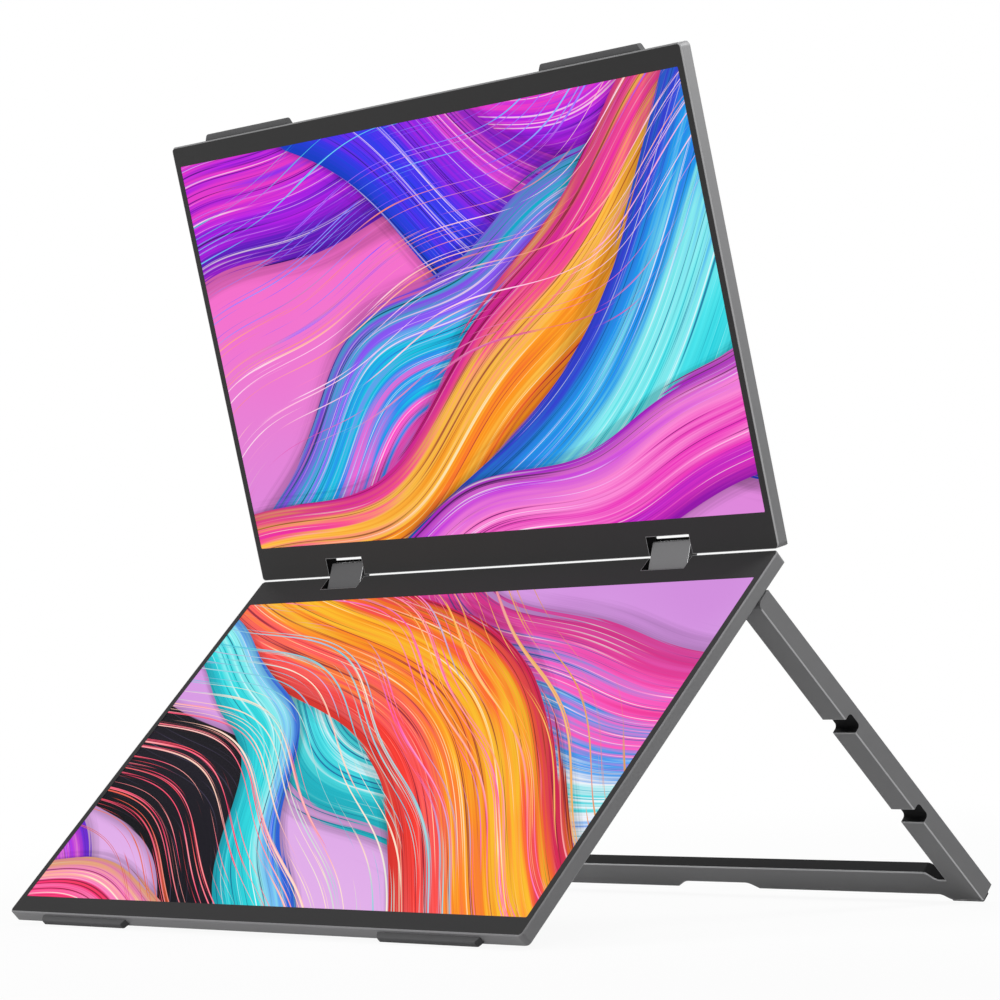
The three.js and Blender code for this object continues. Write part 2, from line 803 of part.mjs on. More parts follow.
function footPad(sign) {
  return block(
    [sign * (legInner - jogFromLeg), (sign * width) / 2],
    [padEnd, legBottom - fitGap],
    [legFront - barThickness, legFront],
  );
}

// Assembly

// How far the lower screen leans: its strips' rear corner and the open stand's pads share the table.
function leanTurn() {
  const stripY = -(height + fitGap + stripHeight);
  const stripZ = -shaftBehindFront - stripThickness / 2;
  const padY = pivotY + padEnd * Math.cos(openTurn) - legFront * Math.sin(openTurn);
  const padZ = pivotZ + padEnd * Math.sin(openTurn) + legFront * Math.cos(openTurn);
  return Math.atan2(stripZ - padZ, padY - stripY);
}

function buildStand() {
  const stand = new THREE.Group();
  stand.position.set(0, pivotY, pivotZ);
  stand.rotation.x = openTurn;
  stand.add(part("stand_frame", standFrame(), finishes.stand));
  for (const { name, sign } of sides) {
    stand.add(
      part(`stand_pivot_pin_${name}`, pivotPin(sign), finishes.steel),
      part(`stand_foot_pad_${name}`, footPad(sign), finishes.rubber),
    );
  }
  return stand;
}

function buildRearHousing() {
  const housing = new THREE.Group();
  housing.add(
    part("lower_rear_cover", rearCover(), finishes.cover),
    part("main_board", mainBoard(), finishes.board),
    part("port_board", portBoard(), finishes.board),
    part("usb_c_socket_a", flatSocket(-1, firstSocketY, [usbWidth, usbHeight]), finishes.socket),
    part("usb_c_socket_b", flatSocket(-1, secondSocketY, [usbWidth, usbHeight]), finishes.socket),
    part("mini_hdmi_socket", flatSocket(1, firstSocketY, [hdmiWidth, hdmiHeight]), finishes.socket),
    part("headphone_socket", headphoneJack(1, secondSocketY), finishes.button),
    part("menu_rocker", menuRocker(-1), finishes.button),
  );
  for (const { name, sign } of sides) {
    housing.add(
      part(`speaker_${name}`, speaker(sign), finishes.button),
      part(`stand_bracket_${name}`, standBracket(sign), finishes.steel),
    );
  }
  screwPlaces.forEach((place, i) => {
    housing.add(part(`rear_cover_screw_${i + 1}`, coverScrew(place), finishes.steel));
  });
  return housing;
}

// The links turn half the bend from the lower screen, and the upper screen the other half from them.
function buildUpperSide() {
  const links = new THREE.Group();
  links.position.set(0, -shaftFromEdge, -shaftBehindFront);
  links.rotation.x = bendTurn / 2;
  for (const { name, sign } of sides) {
    links.add(part(`hinge_link_${name}`, hingeLink(sign), finishes.link));
  }
  const upperShaft = new THREE.Group();
  upperShaft.position.set(0, shaftSpacing, 0);
  upperShaft.rotation.x = bendTurn / 2;
  links.add(upperShaft);
  const upperScreen = screenPieces("upper", upperCutDepth, false, (shell) => shell);
  upperScreen.position.set(0, -shaftFromEdge, shaftBehindFront);
  upperShaft.add(upperScreen);
  return links;
}

const lowerSide = new THREE.Group();
lowerSide.rotation.x = leanTurn();
const lowerScreen = screenPieces("lower", lowerCutDepth, true, cutLowerShell);
lowerScreen.rotation.z = Math.PI;
lowerSide.add(lowerScreen, buildRearHousing(), buildStand(), buildUpperSide());

// The origin is on the table, under the middle of the whole.
const screenExtender = new THREE.Group();
screenExtender.add(lowerSide);
screenExtender.updateMatrixWorld(true);
const extent = new THREE.Box3().setFromObject(lowerSide, true);
const middle = extent.getCenter(new THREE.Vector3());
lowerSide.position.set(-middle.x, -middle.y, -extent.min.z);

export default screenExtender;
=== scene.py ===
"""Looks of a folding display with two screens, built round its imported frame.

Sizes are millimetres in the own frame of each sub-assembly, and the bench turns them into
metres. A screen's frame has x across, y away from the hinge edge and z out of the glass, with
z = 0 at its front face. The rear housing uses the lower screen's frame turned end for end, with
y up, and the stand uses the same one opened about its pivot.
"""

import json
import logging
import math
from dataclasses import dataclass
from enum import Enum
from typing import Any, Callable, Optional, Sequence

import bpy
from mathutils import Matrix, Vector


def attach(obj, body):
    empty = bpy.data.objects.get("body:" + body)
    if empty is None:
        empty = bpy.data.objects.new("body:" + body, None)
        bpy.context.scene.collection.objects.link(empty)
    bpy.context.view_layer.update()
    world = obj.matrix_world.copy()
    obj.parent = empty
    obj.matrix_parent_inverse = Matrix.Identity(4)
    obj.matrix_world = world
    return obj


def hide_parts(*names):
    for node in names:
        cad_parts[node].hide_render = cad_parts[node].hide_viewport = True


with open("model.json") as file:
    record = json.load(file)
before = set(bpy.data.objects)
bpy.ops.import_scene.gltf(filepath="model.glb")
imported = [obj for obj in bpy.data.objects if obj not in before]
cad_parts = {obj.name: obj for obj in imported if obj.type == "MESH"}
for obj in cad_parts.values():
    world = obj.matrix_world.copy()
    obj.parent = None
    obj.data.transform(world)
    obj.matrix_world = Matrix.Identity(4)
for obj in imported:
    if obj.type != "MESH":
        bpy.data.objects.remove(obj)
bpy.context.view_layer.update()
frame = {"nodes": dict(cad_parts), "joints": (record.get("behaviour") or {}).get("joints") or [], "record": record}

Span = tuple[float, float]
Colour = tuple[float, float, float, float]
Test = Callable[[Vector], bool]
Choice = Callable[[Vector, Vector], int]

MM = 0.001
ACROSS = Vector((1, 0, 0))

# How near counts as the same place, how far a tool runs past what it cuts, what a round end
# keeps flat, and the part of a normal above which a face counts as turned that way
NEAR = 0.02
OVERRUN = 1.0
FLAT = 0.01
TURNED = 0.3

# The angles in degrees up to which faces count as one plane, and as one curve
COPLANAR = 0.05
CURVED = 32

# Sizes that more than one sub-assembly keeps to
WIDTH = 352.5
THICKNESS = 6.6
MIDDLE = -THICKNESS / 2
DISPLAY_WIDTH = 344.2
DISPLAY_HEIGHT = 193.6
HINGE_CENTRE = 111.0
SHAFT_FROM_EDGE = 2.0

log = logging.getLogger("display")


class Side(Enum):
    """The object's left and right, as the viewer sees it."""

    LEFT = -1
    RIGHT = 1


class Level(Enum):
    """Which of the two screens."""

    UPPER = "upper"
    LOWER = "lower"


class Axis(Enum):
    """An axis of a sub-assembly's own frame."""

    X = 0
    Y = 1
    Z = 2


class Pick(Enum):
    """What is selected in edit mode, as the three switches of the select mode."""

    VERTICES = (True, False, False)
    EDGES = (False, True, False)


def about(middle: float, length: float) -> Span:
    """The two ends of a length round its middle."""
    return middle - length / 2, middle + length / 2


def grown(size: Span, by: float) -> Span:
    """A length and a height, both made larger."""
    return size[0] + by, size[1] + by


def linear(code: int) -> Colour:
    """A screen colour such as 0x383838 as the linear values that a shader takes.

    Args:
        code: red, green and blue in one number, two hexadecimal digits each.

    Returns:
        The colour with full alpha.
    """
    parts = [(code >> shift & 255) / 255 for shift in (16, 8, 0)]
    red, green, blue = (p / 12.92 if p <= 0.04045 else ((p + 0.055) / 1.055) ** 2.4 for p in parts)
    return red, green, blue, 1.0


def deselect() -> None:
    """Leaves nothing selected."""
    bpy.ops.object.select_all(action="DESELECT")


# Bench


class Piece:
    """One piece on the bench, shaped in its sub-assembly's own frame."""

    def __init__(self, made: bpy.types.Object) -> None:
        """Takes over a new mesh object, all of whose transforms are applied."""
        self.object = made

    @classmethod
    def block(cls, x: Span, y: Span, z: Span) -> "Piece":
        """A block between two corners.

        Args:
            x: its two ends across.
            y: its two ends along y.
            z: its two ends along z.

        Returns:
            The block.
        """
        deselect()
        middle = Vector((sum(s) / 2 for s in (x, y, z))) * MM
        bpy.ops.mesh.primitive_cube_add(size=1, location=middle)
        made = bpy.context.object
        made.scale = [abs(s[1] - s[0]) * MM for s in (x, y, z)]
        bpy.ops.object.transform_apply(location=True, rotation=True, scale=True)
        return cls(made)

    @classmethod
    def rounded(
        cls, x: Span, y: Span, z: Span, axis: Axis, radius: float, segments: int = 8
    ) -> "Piece":
        """A block whose four edges along one axis are rounded.

        Args:
            x: its two ends across.
            y: its two ends along y.
            z: its two ends along z.
            axis: the axis that the edges run along.
            radius: their radius.
            segments: how many faces each has.

        Returns:
            The block.
        """
        middle = sum((x, y, z)[axis.value]) / 2
        made = cls.block(x, y, z)
        return made.bevel(lambda p: abs(p[axis.value] - middle) < NEAR, radius, segments)

    @classmethod
    def bar(cls, run: Span, at: Span, size: Span, radius: float = math.inf) -> "Piece":
        """A bar along x with rounded long edges.

        Args:
            run: its two ends.
            at: its middle in y and z.
            size: its length along y and its height along z.
            radius: the radius of its edges. Its ends are fully round if none is given.

        Returns:
            The bar.
        """
        y, z = (about(*pair) for pair in zip(at, size))
        return cls.rounded(run, y, z, Axis.X, min(radius, size[1] / 2 - FLAT))

    @classmethod
    def rod(
        cls, diameter: float, run: Span, at: Span, axis: Axis = Axis.X, sides: int = 48
    ) -> "Piece":
        """A round rod.

        Args:
            diameter: its diameter.
            run: its two ends along its axis.
            at: its place on the other two axes, in order.
            axis: the axis it runs along, X or Z.
            sides: how many faces go round it.

        Returns:
            The rod.
        """
        deselect()
        centre = list(at)
        centre.insert(axis.value, sum(run) / 2)
        bpy.ops.mesh.primitive_cylinder_add(
            vertices=sides,
            radius=diameter / 2 * MM,
            depth=abs(run[1] - run[0]) * MM,
            location=Vector(centre) * MM,
            rotation=(0, math.pi / 2 if axis is Axis.X else 0, 0),
        )
        bpy.ops.object.transform_apply(location=True, rotation=True, scale=True)
        return cls(bpy.context.object)

    def _activate(self) -> None:
        """Makes this the one selected and active object."""
        deselect()
        self.object.select_set(True)
        bpy.context.view_layer.objects.active = self.object

    def _apply(self, kind: str, **settings: Any) -> "Piece":
        """Adds a modifier, sets it and applies it.

        Args:
            kind: the modifier's type.
            settings: its values by name.

        Returns:
            This piece.
        """
        self._activate()
        modifier = self.object.modifiers.new(kind.title(), kind)
        for key, value in settings.items():
            setattr(modifier, key, value)
        bpy.ops.object.modifier_apply(modifier=modifier.name)
        return self

    def _combine(self, operation: str, tool: "Piece") -> "Piece":
        """Combines this piece with a tool and uses the tool up.

        Args:
            operation: DIFFERENCE, UNION or INTERSECT.
            tool: the piece that is used up.

        Returns:
            This piece.
        """
        self._apply("BOOLEAN", operation=operation, solver="EXACT", object=tool.object)
        tool.discard()
        return self

    def cut(self, tool: "Piece") -> "Piece":
        """Cuts the tool's shape out of this piece."""
        return self._combine("DIFFERENCE", tool)

    def add(self, tool: "Piece") -> "Piece":
        """Joins the tool's shape to this piece."""
        return self._combine("UNION", tool)

    def meet(self, tool: "Piece") -> "Piece":
        """Keeps only what lies inside the tool as well."""
        return self._combine("INTERSECT", tool)

    def discard(self) -> None:
        """Takes the piece off the bench."""
        mesh = self.object.data
        bpy.data.objects.remove(self.object)
        bpy.data.meshes.remove(mesh)

    def copied(self, shift: Sequence[float]) -> "Piece":
        """A copy with a mesh of its own.

        Args:
            shift: how far the copy is moved.

        Returns:
            The copy.
        """
        twin = self.object.copy()
        twin.data = self.object.data.copy()
        bpy.context.scene.collection.objects.link(twin)
        twin.data.transform(Matrix.Translation(Vector(shift) * MM))
        return Piece(twin)

    def gathered(self, others: Sequence["Piece"]) -> "Piece":
        """Takes other pieces into this one as loose parts of the same mesh.

        Args:
            others: the pieces, which don't touch this one.

        Returns:
            This piece.
        """
        self._activate()
        for other in others:
            other.object.select_set(True)
        bpy.ops.object.join()
        return self

    def _pick(self, kind: Pick, test: Test) -> None:
        """Selects vertices, or edges by their middles, and goes into edit mode.

        Args:
            kind: which of the two.
            test: says of a place, in millimetres, whether it is taken.
        """
        self._activate()
        mesh = self.object.data
        for group in (mesh.vertices, mesh.edges, mesh.polygons):
            group.foreach_set("select", [False] * len(group))
        points = [vertex.co / MM for vertex in mesh.vertices]
        if kind is Pick.VERTICES:
            for vertex, point in zip(mesh.vertices, points):
                vertex.select = test(point)
        else:
            for edge in mesh.edges:
                first, second = edge.vertices
                edge.select = test((points[first] + points[second]) / 2)
        bpy.context.tool_settings.mesh_select_mode = kind.value
        bpy.ops.object.mode_set(mode="EDIT")

    def _pick_all(self) -> None:
        """Selects the whole mesh in edit mode."""
        self._pick(Pick.VERTICES, lambda point: True)
        bpy.ops.mesh.select_all(action="SELECT")

    def _edit(self, operator: Callable[..., set[str]], **settings: Any) -> "Piece":
        """Runs an operator on what is picked and leaves edit mode.

        Args:
            operator: an operator of edit mode.
            settings: its values by name.

        Returns:
            This piece.
        """
        operator(**settings)
        bpy.ops.object.mode_set(mode="OBJECT")
        return self

    def bevel(self, test: Test, width: float, segments: int = 1) -> "Piece":
        """Bevels the edges whose middles pass a test, by a width on each side.

        Args:
            test: says of an edge's middle whether it is taken.
            width: the bevel's width on each side of the edge.
            segments: how many faces it has.

        Returns:
            This piece.
        """
        self._pick(Pick.EDGES, test)
        return self._edit(
            bpy.ops.mesh.bevel,
            offset_type="OFFSET",
            offset=width * MM,
            segments=segments,
            profile=0.5,
            affect="EDGES",
            clamp_overlap=False,
        )

    def shift(self, test: Test, by: Sequence[float]) -> "Piece":
        """Moves the vertices that pass a test."""
        self._pick(Pick.VERTICES, test)
        return self._edit(bpy.ops.transform.translate, value=Vector(by) * MM)

    def stretch(self, test: Test, by: Sequence[float], centre: Sequence[float]) -> "Piece":
        """Scales the vertices that pass a test about a centre."""
        self._pick(Pick.VERTICES, test)
        return self._edit(bpy.ops.transform.resize, value=by, center_override=Vector(centre) * MM)

    def slice(self, places: Sequence[float]) -> "Piece":
        """Adds a ring of edges at each place along x.

        Args:
            places: the places.

        Returns:
            This piece.
        """
        for place in places:
            self._pick_all()
            self._edit(bpy.ops.mesh.bisect, plane_co=ACROSS * place * MM, plane_no=ACROSS)
        return self

    def soften(self, width: float, segments: int = 2, angle: float = 40) -> "Piece":
        """Bevels every edge sharper than an angle."""
        return self._apply(
            "BEVEL",
            width=width * MM,
            segments=segments,
            limit_method="ANGLE",
            angle_limit=math.radians(angle),
            use_clamp_overlap=True,
            miter_outer="MITER_ARC",
        )

    def tidied(self) -> "Piece":
        """Merges doubled vertices and joins faces that lie in one plane.

        Returns:
            This piece.
        """
        self._pick_all()
        bpy.ops.mesh.remove_doubles(threshold=NEAR * MM / 10)
        return self._edit(bpy.ops.mesh.dissolve_limited, angle_limit=math.radians(COPLANAR))

    def smooth(self) -> "Piece":
        """Shades curved faces smooth and keeps the flat ones flat.

        Returns:
            This piece.
        """
        self._activate()
        bpy.ops.object.shade_smooth_by_angle(angle=math.radians(CURVED))
        return self._apply("WEIGHTED_NORMAL", keep_sharp=True)

    def paint(self, *finishes: "Finish", where: Optional[Choice] = None) -> "Piece":
        """Gives the piece its finishes.

        Args:
            finishes: the first one covers the piece.
            where: says of a face's middle and normal which finish it has, by number.

        Returns:
            This piece.
        """
        mesh = self.object.data
        mesh.materials.clear()
        for finish in finishes:
            mesh.materials.append(finish.material())
        if where:
            for face in mesh.polygons:
                face.material_index = where(face.center / MM, face.normal)
        return self

    def install(
        self,
        name: str,
        place: Matrix,
        body: str,
        slot: Optional[str] = None,
        nodes: Sequence[str] = (),
    ) -> None:
        """Sets the finished piece in the object.

        Args:
            name: its name in the scene.
            place: the sub-assembly's frame.
            body: the body that it moves with.
            slot: not used.
            nodes: the nodes that it stands for.
        """
        made = self.object
        made.name = made.data.name = name
        made.data.transform(place)
        made.data.update()
        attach(made, body)
        if nodes:
            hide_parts(*nodes)
        log.info("%s: %d faces on %s", name, len(made.data.polygons), body)


# Shader nodes


class Signal:
    """A value that runs between nodes, which can stand in a sum."""

    def __init__(self, graph: "Graph", socket: bpy.types.NodeSocket) -> None:
        """Wraps a node's output."""
        self.graph = graph
        self.socket = socket

    def _math(self, operation: str, *values: Any) -> "Signal":
        """The result of a Math node, its values in order."""
        return self.graph.node("ShaderNodeMath", {"operation": operation}, dict(enumerate(values)))

    def __add__(self, other: Any) -> "Signal":
        """self + other."""
        return self._math("ADD", self, other)

    __radd__ = __add__

    def __sub__(self, other: Any) -> "Signal":
        """self - other."""
        return self._math("SUBTRACT", self, other)

    def __rsub__(self, other: Any) -> "Signal":
        """other - self."""
        return self._math("SUBTRACT", other, self)

    def __mul__(self, other: Any) -> "Signal":
        """self * other."""
        return self._math("MULTIPLY", self, other)

    __rmul__ = __mul__

    def __truediv__(self, other: Any) -> "Signal":
        """self / other."""
        return self._math("DIVIDE", self, other)

    def __abs__(self) -> "Signal":
        """The value without its sign."""
        return self._math("ABSOLUTE", self)

    def sine(self) -> "Signal":
        """The sine of the value in radians."""
        return self._math("SINE", self)

    def over(self, limit: Any) -> "Signal":
        """1 where the value is greater than a limit, otherwise 0."""
        return self._math("GREATER_THAN", self, limit)

    def wrapped(self, length: float) -> "Signal":
        """The value's distance from the nearest multiple of a length."""
        return self._math("PINGPONG", self, length / 2)

    def largest(self, other: Any) -> "Signal":
        """The larger of two values."""
        return self._math("MAXIMUM", self, other)

    def ramp(self, low: float, high: float, to_low: float = 0.0, to_high: float = 1.0) -> "Signal":
        """The value eased from low and high to two others and held beyond them."""
        values = {0: self, 1: low, 2: high, 3: to_low, 4: to_high}
        return self.graph.node("ShaderNodeMapRange", {"interpolation_type": "SMOOTHSTEP"}, values)


class Graph:
    """A node tree that is being laid."""

    def __init__(self, tree: bpy.types.NodeTree) -> None:
        """Starts with an empty tree."""
        self.tree = tree
        tree.nodes.clear()

    def node(
        self,
        kind: str,
        settings: Optional[dict] = None,
        values: Optional[dict] = None,
        out: Any = 0,
    ) -> Optional[Signal]:
        """Adds a node.

        Args:
            kind: the node's type.
            settings: its settings, set first; "stops" are a ramp's places and colours.
            values: its inputs by name or number.
            out: the output that is wanted, by name or number.

        Returns:
            That output, or nothing from a node at the tree's end.
        """
        made = self.tree.nodes.new(kind)
        for key, value in (settings or {}).items():
            if key == "stops":
                self._set_stops(made.color_ramp, value)
            else:
                setattr(made, key, value)
        for key, value in (values or {}).items():
            if isinstance(value, Signal):
                self.tree.links.new(value.socket, made.inputs[key])
            else:
                made.inputs[key].default_value = value
        return Signal(self, made.outputs[out]) if len(made.outputs) else None

    @staticmethod
    def _set_stops(ramp: bpy.types.ColorRamp, stops: Sequence[tuple[float, int]]) -> None:
        """Sets a ramp's stops.

        Args:
            ramp: the ramp.
            stops: places and screen colours, in rising order.
        """
        while len(ramp.elements) < len(stops):
            ramp.elements.new(1.0)
        for element, (place, code) in zip(ramp.elements, stops):
            element.position = place
            element.color = linear(code)

    def place(self) -> Signal:
        """The point on the object, in metres."""
        return self.node("ShaderNodeTexCoord", out="Object")

    def turned(self, place: Matrix) -> Signal:
        """The point on the object in a sub-assembly's own frame, in metres.

        Args:
            place: the sub-assembly's frame.

        Returns:
            The point.
        """
        back = place.inverted()
        values = {"Location": back.to_translation(), "Rotation": back.to_euler()}
        return self.node("ShaderNodeMapping", values={"Vector": self.place(), **values})

    def split(self, vector: Signal) -> list[Signal]:
        """The three parts of a vector."""
        first = self.node("ShaderNodeSeparateXYZ", values={0: vector})
        return [Signal(self, output) for output in first.socket.node.outputs]

    def joined(self, x: Any, y: Any, z: Any = 0.0) -> Signal:
        """A vector of three parts."""
        return self.node("ShaderNodeCombineXYZ", values={0: x, 1: y, 2: z})

    def noise(
        self, at: Signal, scale: float, detail: float = 2.0, roughness: float = 0.5
    ) -> Signal:
        """Smooth noise from 0 to 1 at a point, its scale in features to a metre."""
        values = {"Vector": at, "Scale": scale, "Detail": detail, "Roughness": roughness}
        return self.node("ShaderNodeTexNoise", values=values)

    def mix(self, first: Any, second: Any, share: Any) -> Signal:
        """Two colours mixed, the second one by a share."""
        values = {0: share, 6: first, 7: second}
        return self.node("ShaderNodeMix", {"data_type": "RGBA"}, values, out=2)

    def dimmed(self, colour: Any, by: Any) -> Signal:
        """A colour made lighter or darker by a factor."""
        start = colour if isinstance(colour, Signal) else colour[:3]
        return self.node("ShaderNodeVectorMath", {"operation": "SCALE"}, {0: start, "Scale": by})

    def bump(self, height: Signal, depth: float, strength: float) -> Signal:
        """A normal that follows a height of 0 to 1, a depth in millimetres at full strength."""
        values = {"Height": height, "Distance": depth * MM, "Strength": strength}
        return self.node("ShaderNodeBump", values=values)

    def surface(self, **values: Any) -> None:
        """Ends the tree in a surface.

        Args:
            values: the surface's inputs, with underscores for spaces.
        """
        named = {key.replace("_", " "): value for key, value in values.items()}
        shader = self.node("ShaderNodeBsdfPrincipled", values=named)
        self.node("ShaderNodeOutputMaterial", values={"Surface": shader})


# Finishes


@dataclass(frozen=True)
class Finish:
    """What a piece is made of. Each finish is laid once and then shared."""

    name: str

    def material(self) -> bpy.types.Material:
        """The finish as a material.

        Returns:
            The material, laid at the first call.
        """
        found = bpy.data.materials.get(self.name)
        if found:
            return found
        made = bpy.data.materials.new(self.name)
        made.use_nodes = True
        self.lay(Graph(made.node_tree))
        return made

    def lay(self, graph: Graph) -> None:
        """Lays the finish's nodes."""
        raise NotImplementedError


@dataclass(frozen=True)
class Anodised(Finish):
    """Bead-blasted aluminium, anodised: a fine grain and a faint cloudiness."""

    colour: int
    metallic: float
    roughness: float
    grain: float = 4200.0
    cloud: float = 38.0
    relief: float = 0.3

    def lay(self, graph: Graph) -> None:
        """Lays the grain in the colour, the gloss and the relief.

        Args:
            graph: the material's tree.
        """
        at = graph.place()
        grain = graph.noise(at, self.grain, 3.0, 0.6)
        cloud = graph.noise(at, self.cloud, 3.0)
        graph.surface(
            Base_Color=graph.dimmed(linear(self.colour), 0.9 + 0.12 * grain + 0.08 * cloud),
            Metallic=self.metallic,
            Roughness=self.roughness - 0.06 + 0.08 * cloud + 0.06 * grain,
            Specular_IOR_Level=0.14,
            Normal=graph.bump(grain, 0.012, self.relief),
        )


@dataclass(frozen=True)
class Moulded(Finish):
    """Moulded plastic with a spark-eroded texture."""

    colour: int
    roughness: float = 0.55
    specular: float = 0.25
    grain: float = 3000.0
    relief: float = 0.02

    def lay(self, graph: Graph) -> None:
        """Lays the texture in the colour, the gloss and the relief.

        Args:
            graph: the material's tree.
        """
        at = graph.place()
        grain = graph.noise(at, self.grain, 4.0, 0.65)
        cloud = graph.noise(at, 25.0)
        graph.surface(
            Base_Color=graph.dimmed(linear(self.colour), 0.92 + 0.1 * grain + 0.06 * cloud),
            Roughness=self.roughness - 0.05 + 0.1 * grain,
            Specular_IOR_Level=self.specular,
            Normal=graph.bump(grain, self.relief, 0.6),
        )


@dataclass(frozen=True)
class Rubber(Finish):
    """Soft rubber with a dry bloom and a little dust."""

    colour: int

    def lay(self, graph: Graph) -> None:
        """Lays the bloom and the dust on the rubber's colour.

        Args:
            graph: the material's tree.
        """
        at = graph.place()
        bloom = graph.noise(at, 160.0, 4.0)
        pores = graph.noise(at, 2400.0, 3.0, 0.7)
        dust = pores.ramp(0.68, 0.8) * bloom
        body = graph.dimmed(linear(self.colour), 0.82 + 0.36 * bloom)
        graph.surface(
            Base_Color=graph.mix(body, linear(0x77777A), 0.5 * dust),
            Roughness=0.72 + 0.16 * bloom,
            Specular_IOR_Level=0.3,
            Normal=graph.bump(pores, 0.03, 0.7),
        )


@dataclass(frozen=True)
class Steel(Finish):
    """Turned or drawn steel, its fine lines running round or along x."""

    colour: int
    roughness: float

    def lay(self, graph: Graph) -> None:
        """Lays the lines and a few darker stains.

        Args:
            graph: the material's tree.
        """
        at = graph.place()
        stretched = {"Vector": at, "Scale": (60.0, 2200.0, 2200.0)}
        lines = graph.noise(graph.node("ShaderNodeMapping", values=stretched), 1.0, 2.0, 0.6)
        stain = graph.noise(at, 120.0, 3.0)
        graph.surface(
            Base_Color=graph.dimmed(linear(self.colour), 0.82 + 0.2 * lines + 0.1 * stain),
            Metallic=1.0,
            Roughness=self.roughness - 0.05 + 0.16 * lines,
            Normal=graph.bump(lines, 0.008, 0.5),
        )


@dataclass(frozen=True)
class Plated(Finish):
    """Bright plating, such as on a socket or its contacts."""

    colour: int
    roughness: float

    def lay(self, graph: Graph) -> None:
        """Lays a faint orange peel and finger marks.

        Args:
            graph: the material's tree.
        """
        at = graph.place()
        peel = graph.noise(at, 1500.0)
        marks = graph.noise(at, 240.0, 3.0)
        graph.surface(
            Base_Color=graph.dimmed(linear(self.colour), 0.9 + 0.12 * marks),
            Metallic=1.0,
            Roughness=self.roughness + 0.14 * marks,
            Normal=graph.bump(peel, 0.006, 0.4),
        )


@dataclass(frozen=True)
class Board(Finish):
    """A circuit board in its own frame: solder mask over tracks, tinned holes and black chips."""

    place: Matrix
    chips_above: float
    chips_behind: bool = False
    hole_pitch: float = 2.54
    hole_edge: Span = (0.3, 0.36)

    def lay(self, graph: Graph) -> None:
        """Lays tracks, holes and chips by the point in the board's own frame.

        Args:
            graph: the material's tree.
        """
        at = graph.turned(self.place)
        x, y, z = graph.split(at)
        cells = {"Vector": at, "Scale": 260.0}
        kind = {"feature": "DISTANCE_TO_EDGE"}
        tracks = graph.node("ShaderNodeTexVoronoi", kind, cells).ramp(0.06, 0.09)
        low, high = (edge * MM for edge in self.hole_edge)
        rows, lines = (v.wrapped(self.hole_pitch * MM).ramp(low, high, 1.0, 0.0) for v in (x, y))
        holes = rows * lines * graph.noise(at, 90.0).over(0.5)
        mask = graph.mix(linear(0x1C6B3F), linear(0x124A2B), tracks)
        bare = graph.mix(mask, linear(0xC9C3A4), holes)
        height = -1.0 * z if self.chips_behind else z
        chips = height.over(self.chips_above * MM)
        print_lines = graph.noise(at, 700.0, 3.0)
        black = graph.dimmed(linear(0x1D1D1F), 0.8 + 0.4 * print_lines)
        graph.surface(
            Base_Color=graph.mix(bare, black, chips),
            Metallic=holes * (1.0 - chips) * 0.9,
            Roughness=0.35 + 0.25 * chips + 0.08 * print_lines,
            Normal=graph.bump(tracks, 0.03, 0.5),
        )


@dataclass(frozen=True)
class LightGuide(Finish):
    """The white tray of a backlight, with its raster of dots."""

    place: Matrix
    dot_pitch: float = 3.0
    dot_edge: Span = (0.9, 1.1)

    def lay(self, graph: Graph) -> None:
        """Lays the dots in the screen's own frame.

        Args:
            graph: the material's tree.
        """
        x, y, _ = graph.split(graph.turned(self.place))
        across, up = (v.wrapped(self.dot_pitch * MM) for v in (x, y))
        dots = across.largest(up).ramp(*(edge * MM for edge in self.dot_edge))
        cloud = graph.noise(graph.place(), 40.0)
        graph.surface(
            Base_Color=graph.mix(linear(0xDCDEE2), linear(0xC2C6CE), dots * 0.6 + 0.2 * cloud),
            Roughness=0.35 + 0.2 * dots,
            Normal=graph.bump(dots, 0.05, 0.4),
        )


@dataclass(frozen=True)
class Ribbon:
    """One band of the picture: streaks of colour that run along a wave.

    Places and widths are shares of the picture's height, and the angle is in degrees. A wave has
    its reach, its rate and its start, and a stop its place across the band and its colour.
    """

    angle: float
    middle: float
    half: float
    spread: float
    streaks: float
    seed: float
    waves: tuple[tuple[float, float, float], ...]
    stops: tuple[tuple[float, int], ...]
    glint: int = 0xFFE9F8
    deep: int = 0x2A1145
    cover: float = 1.0


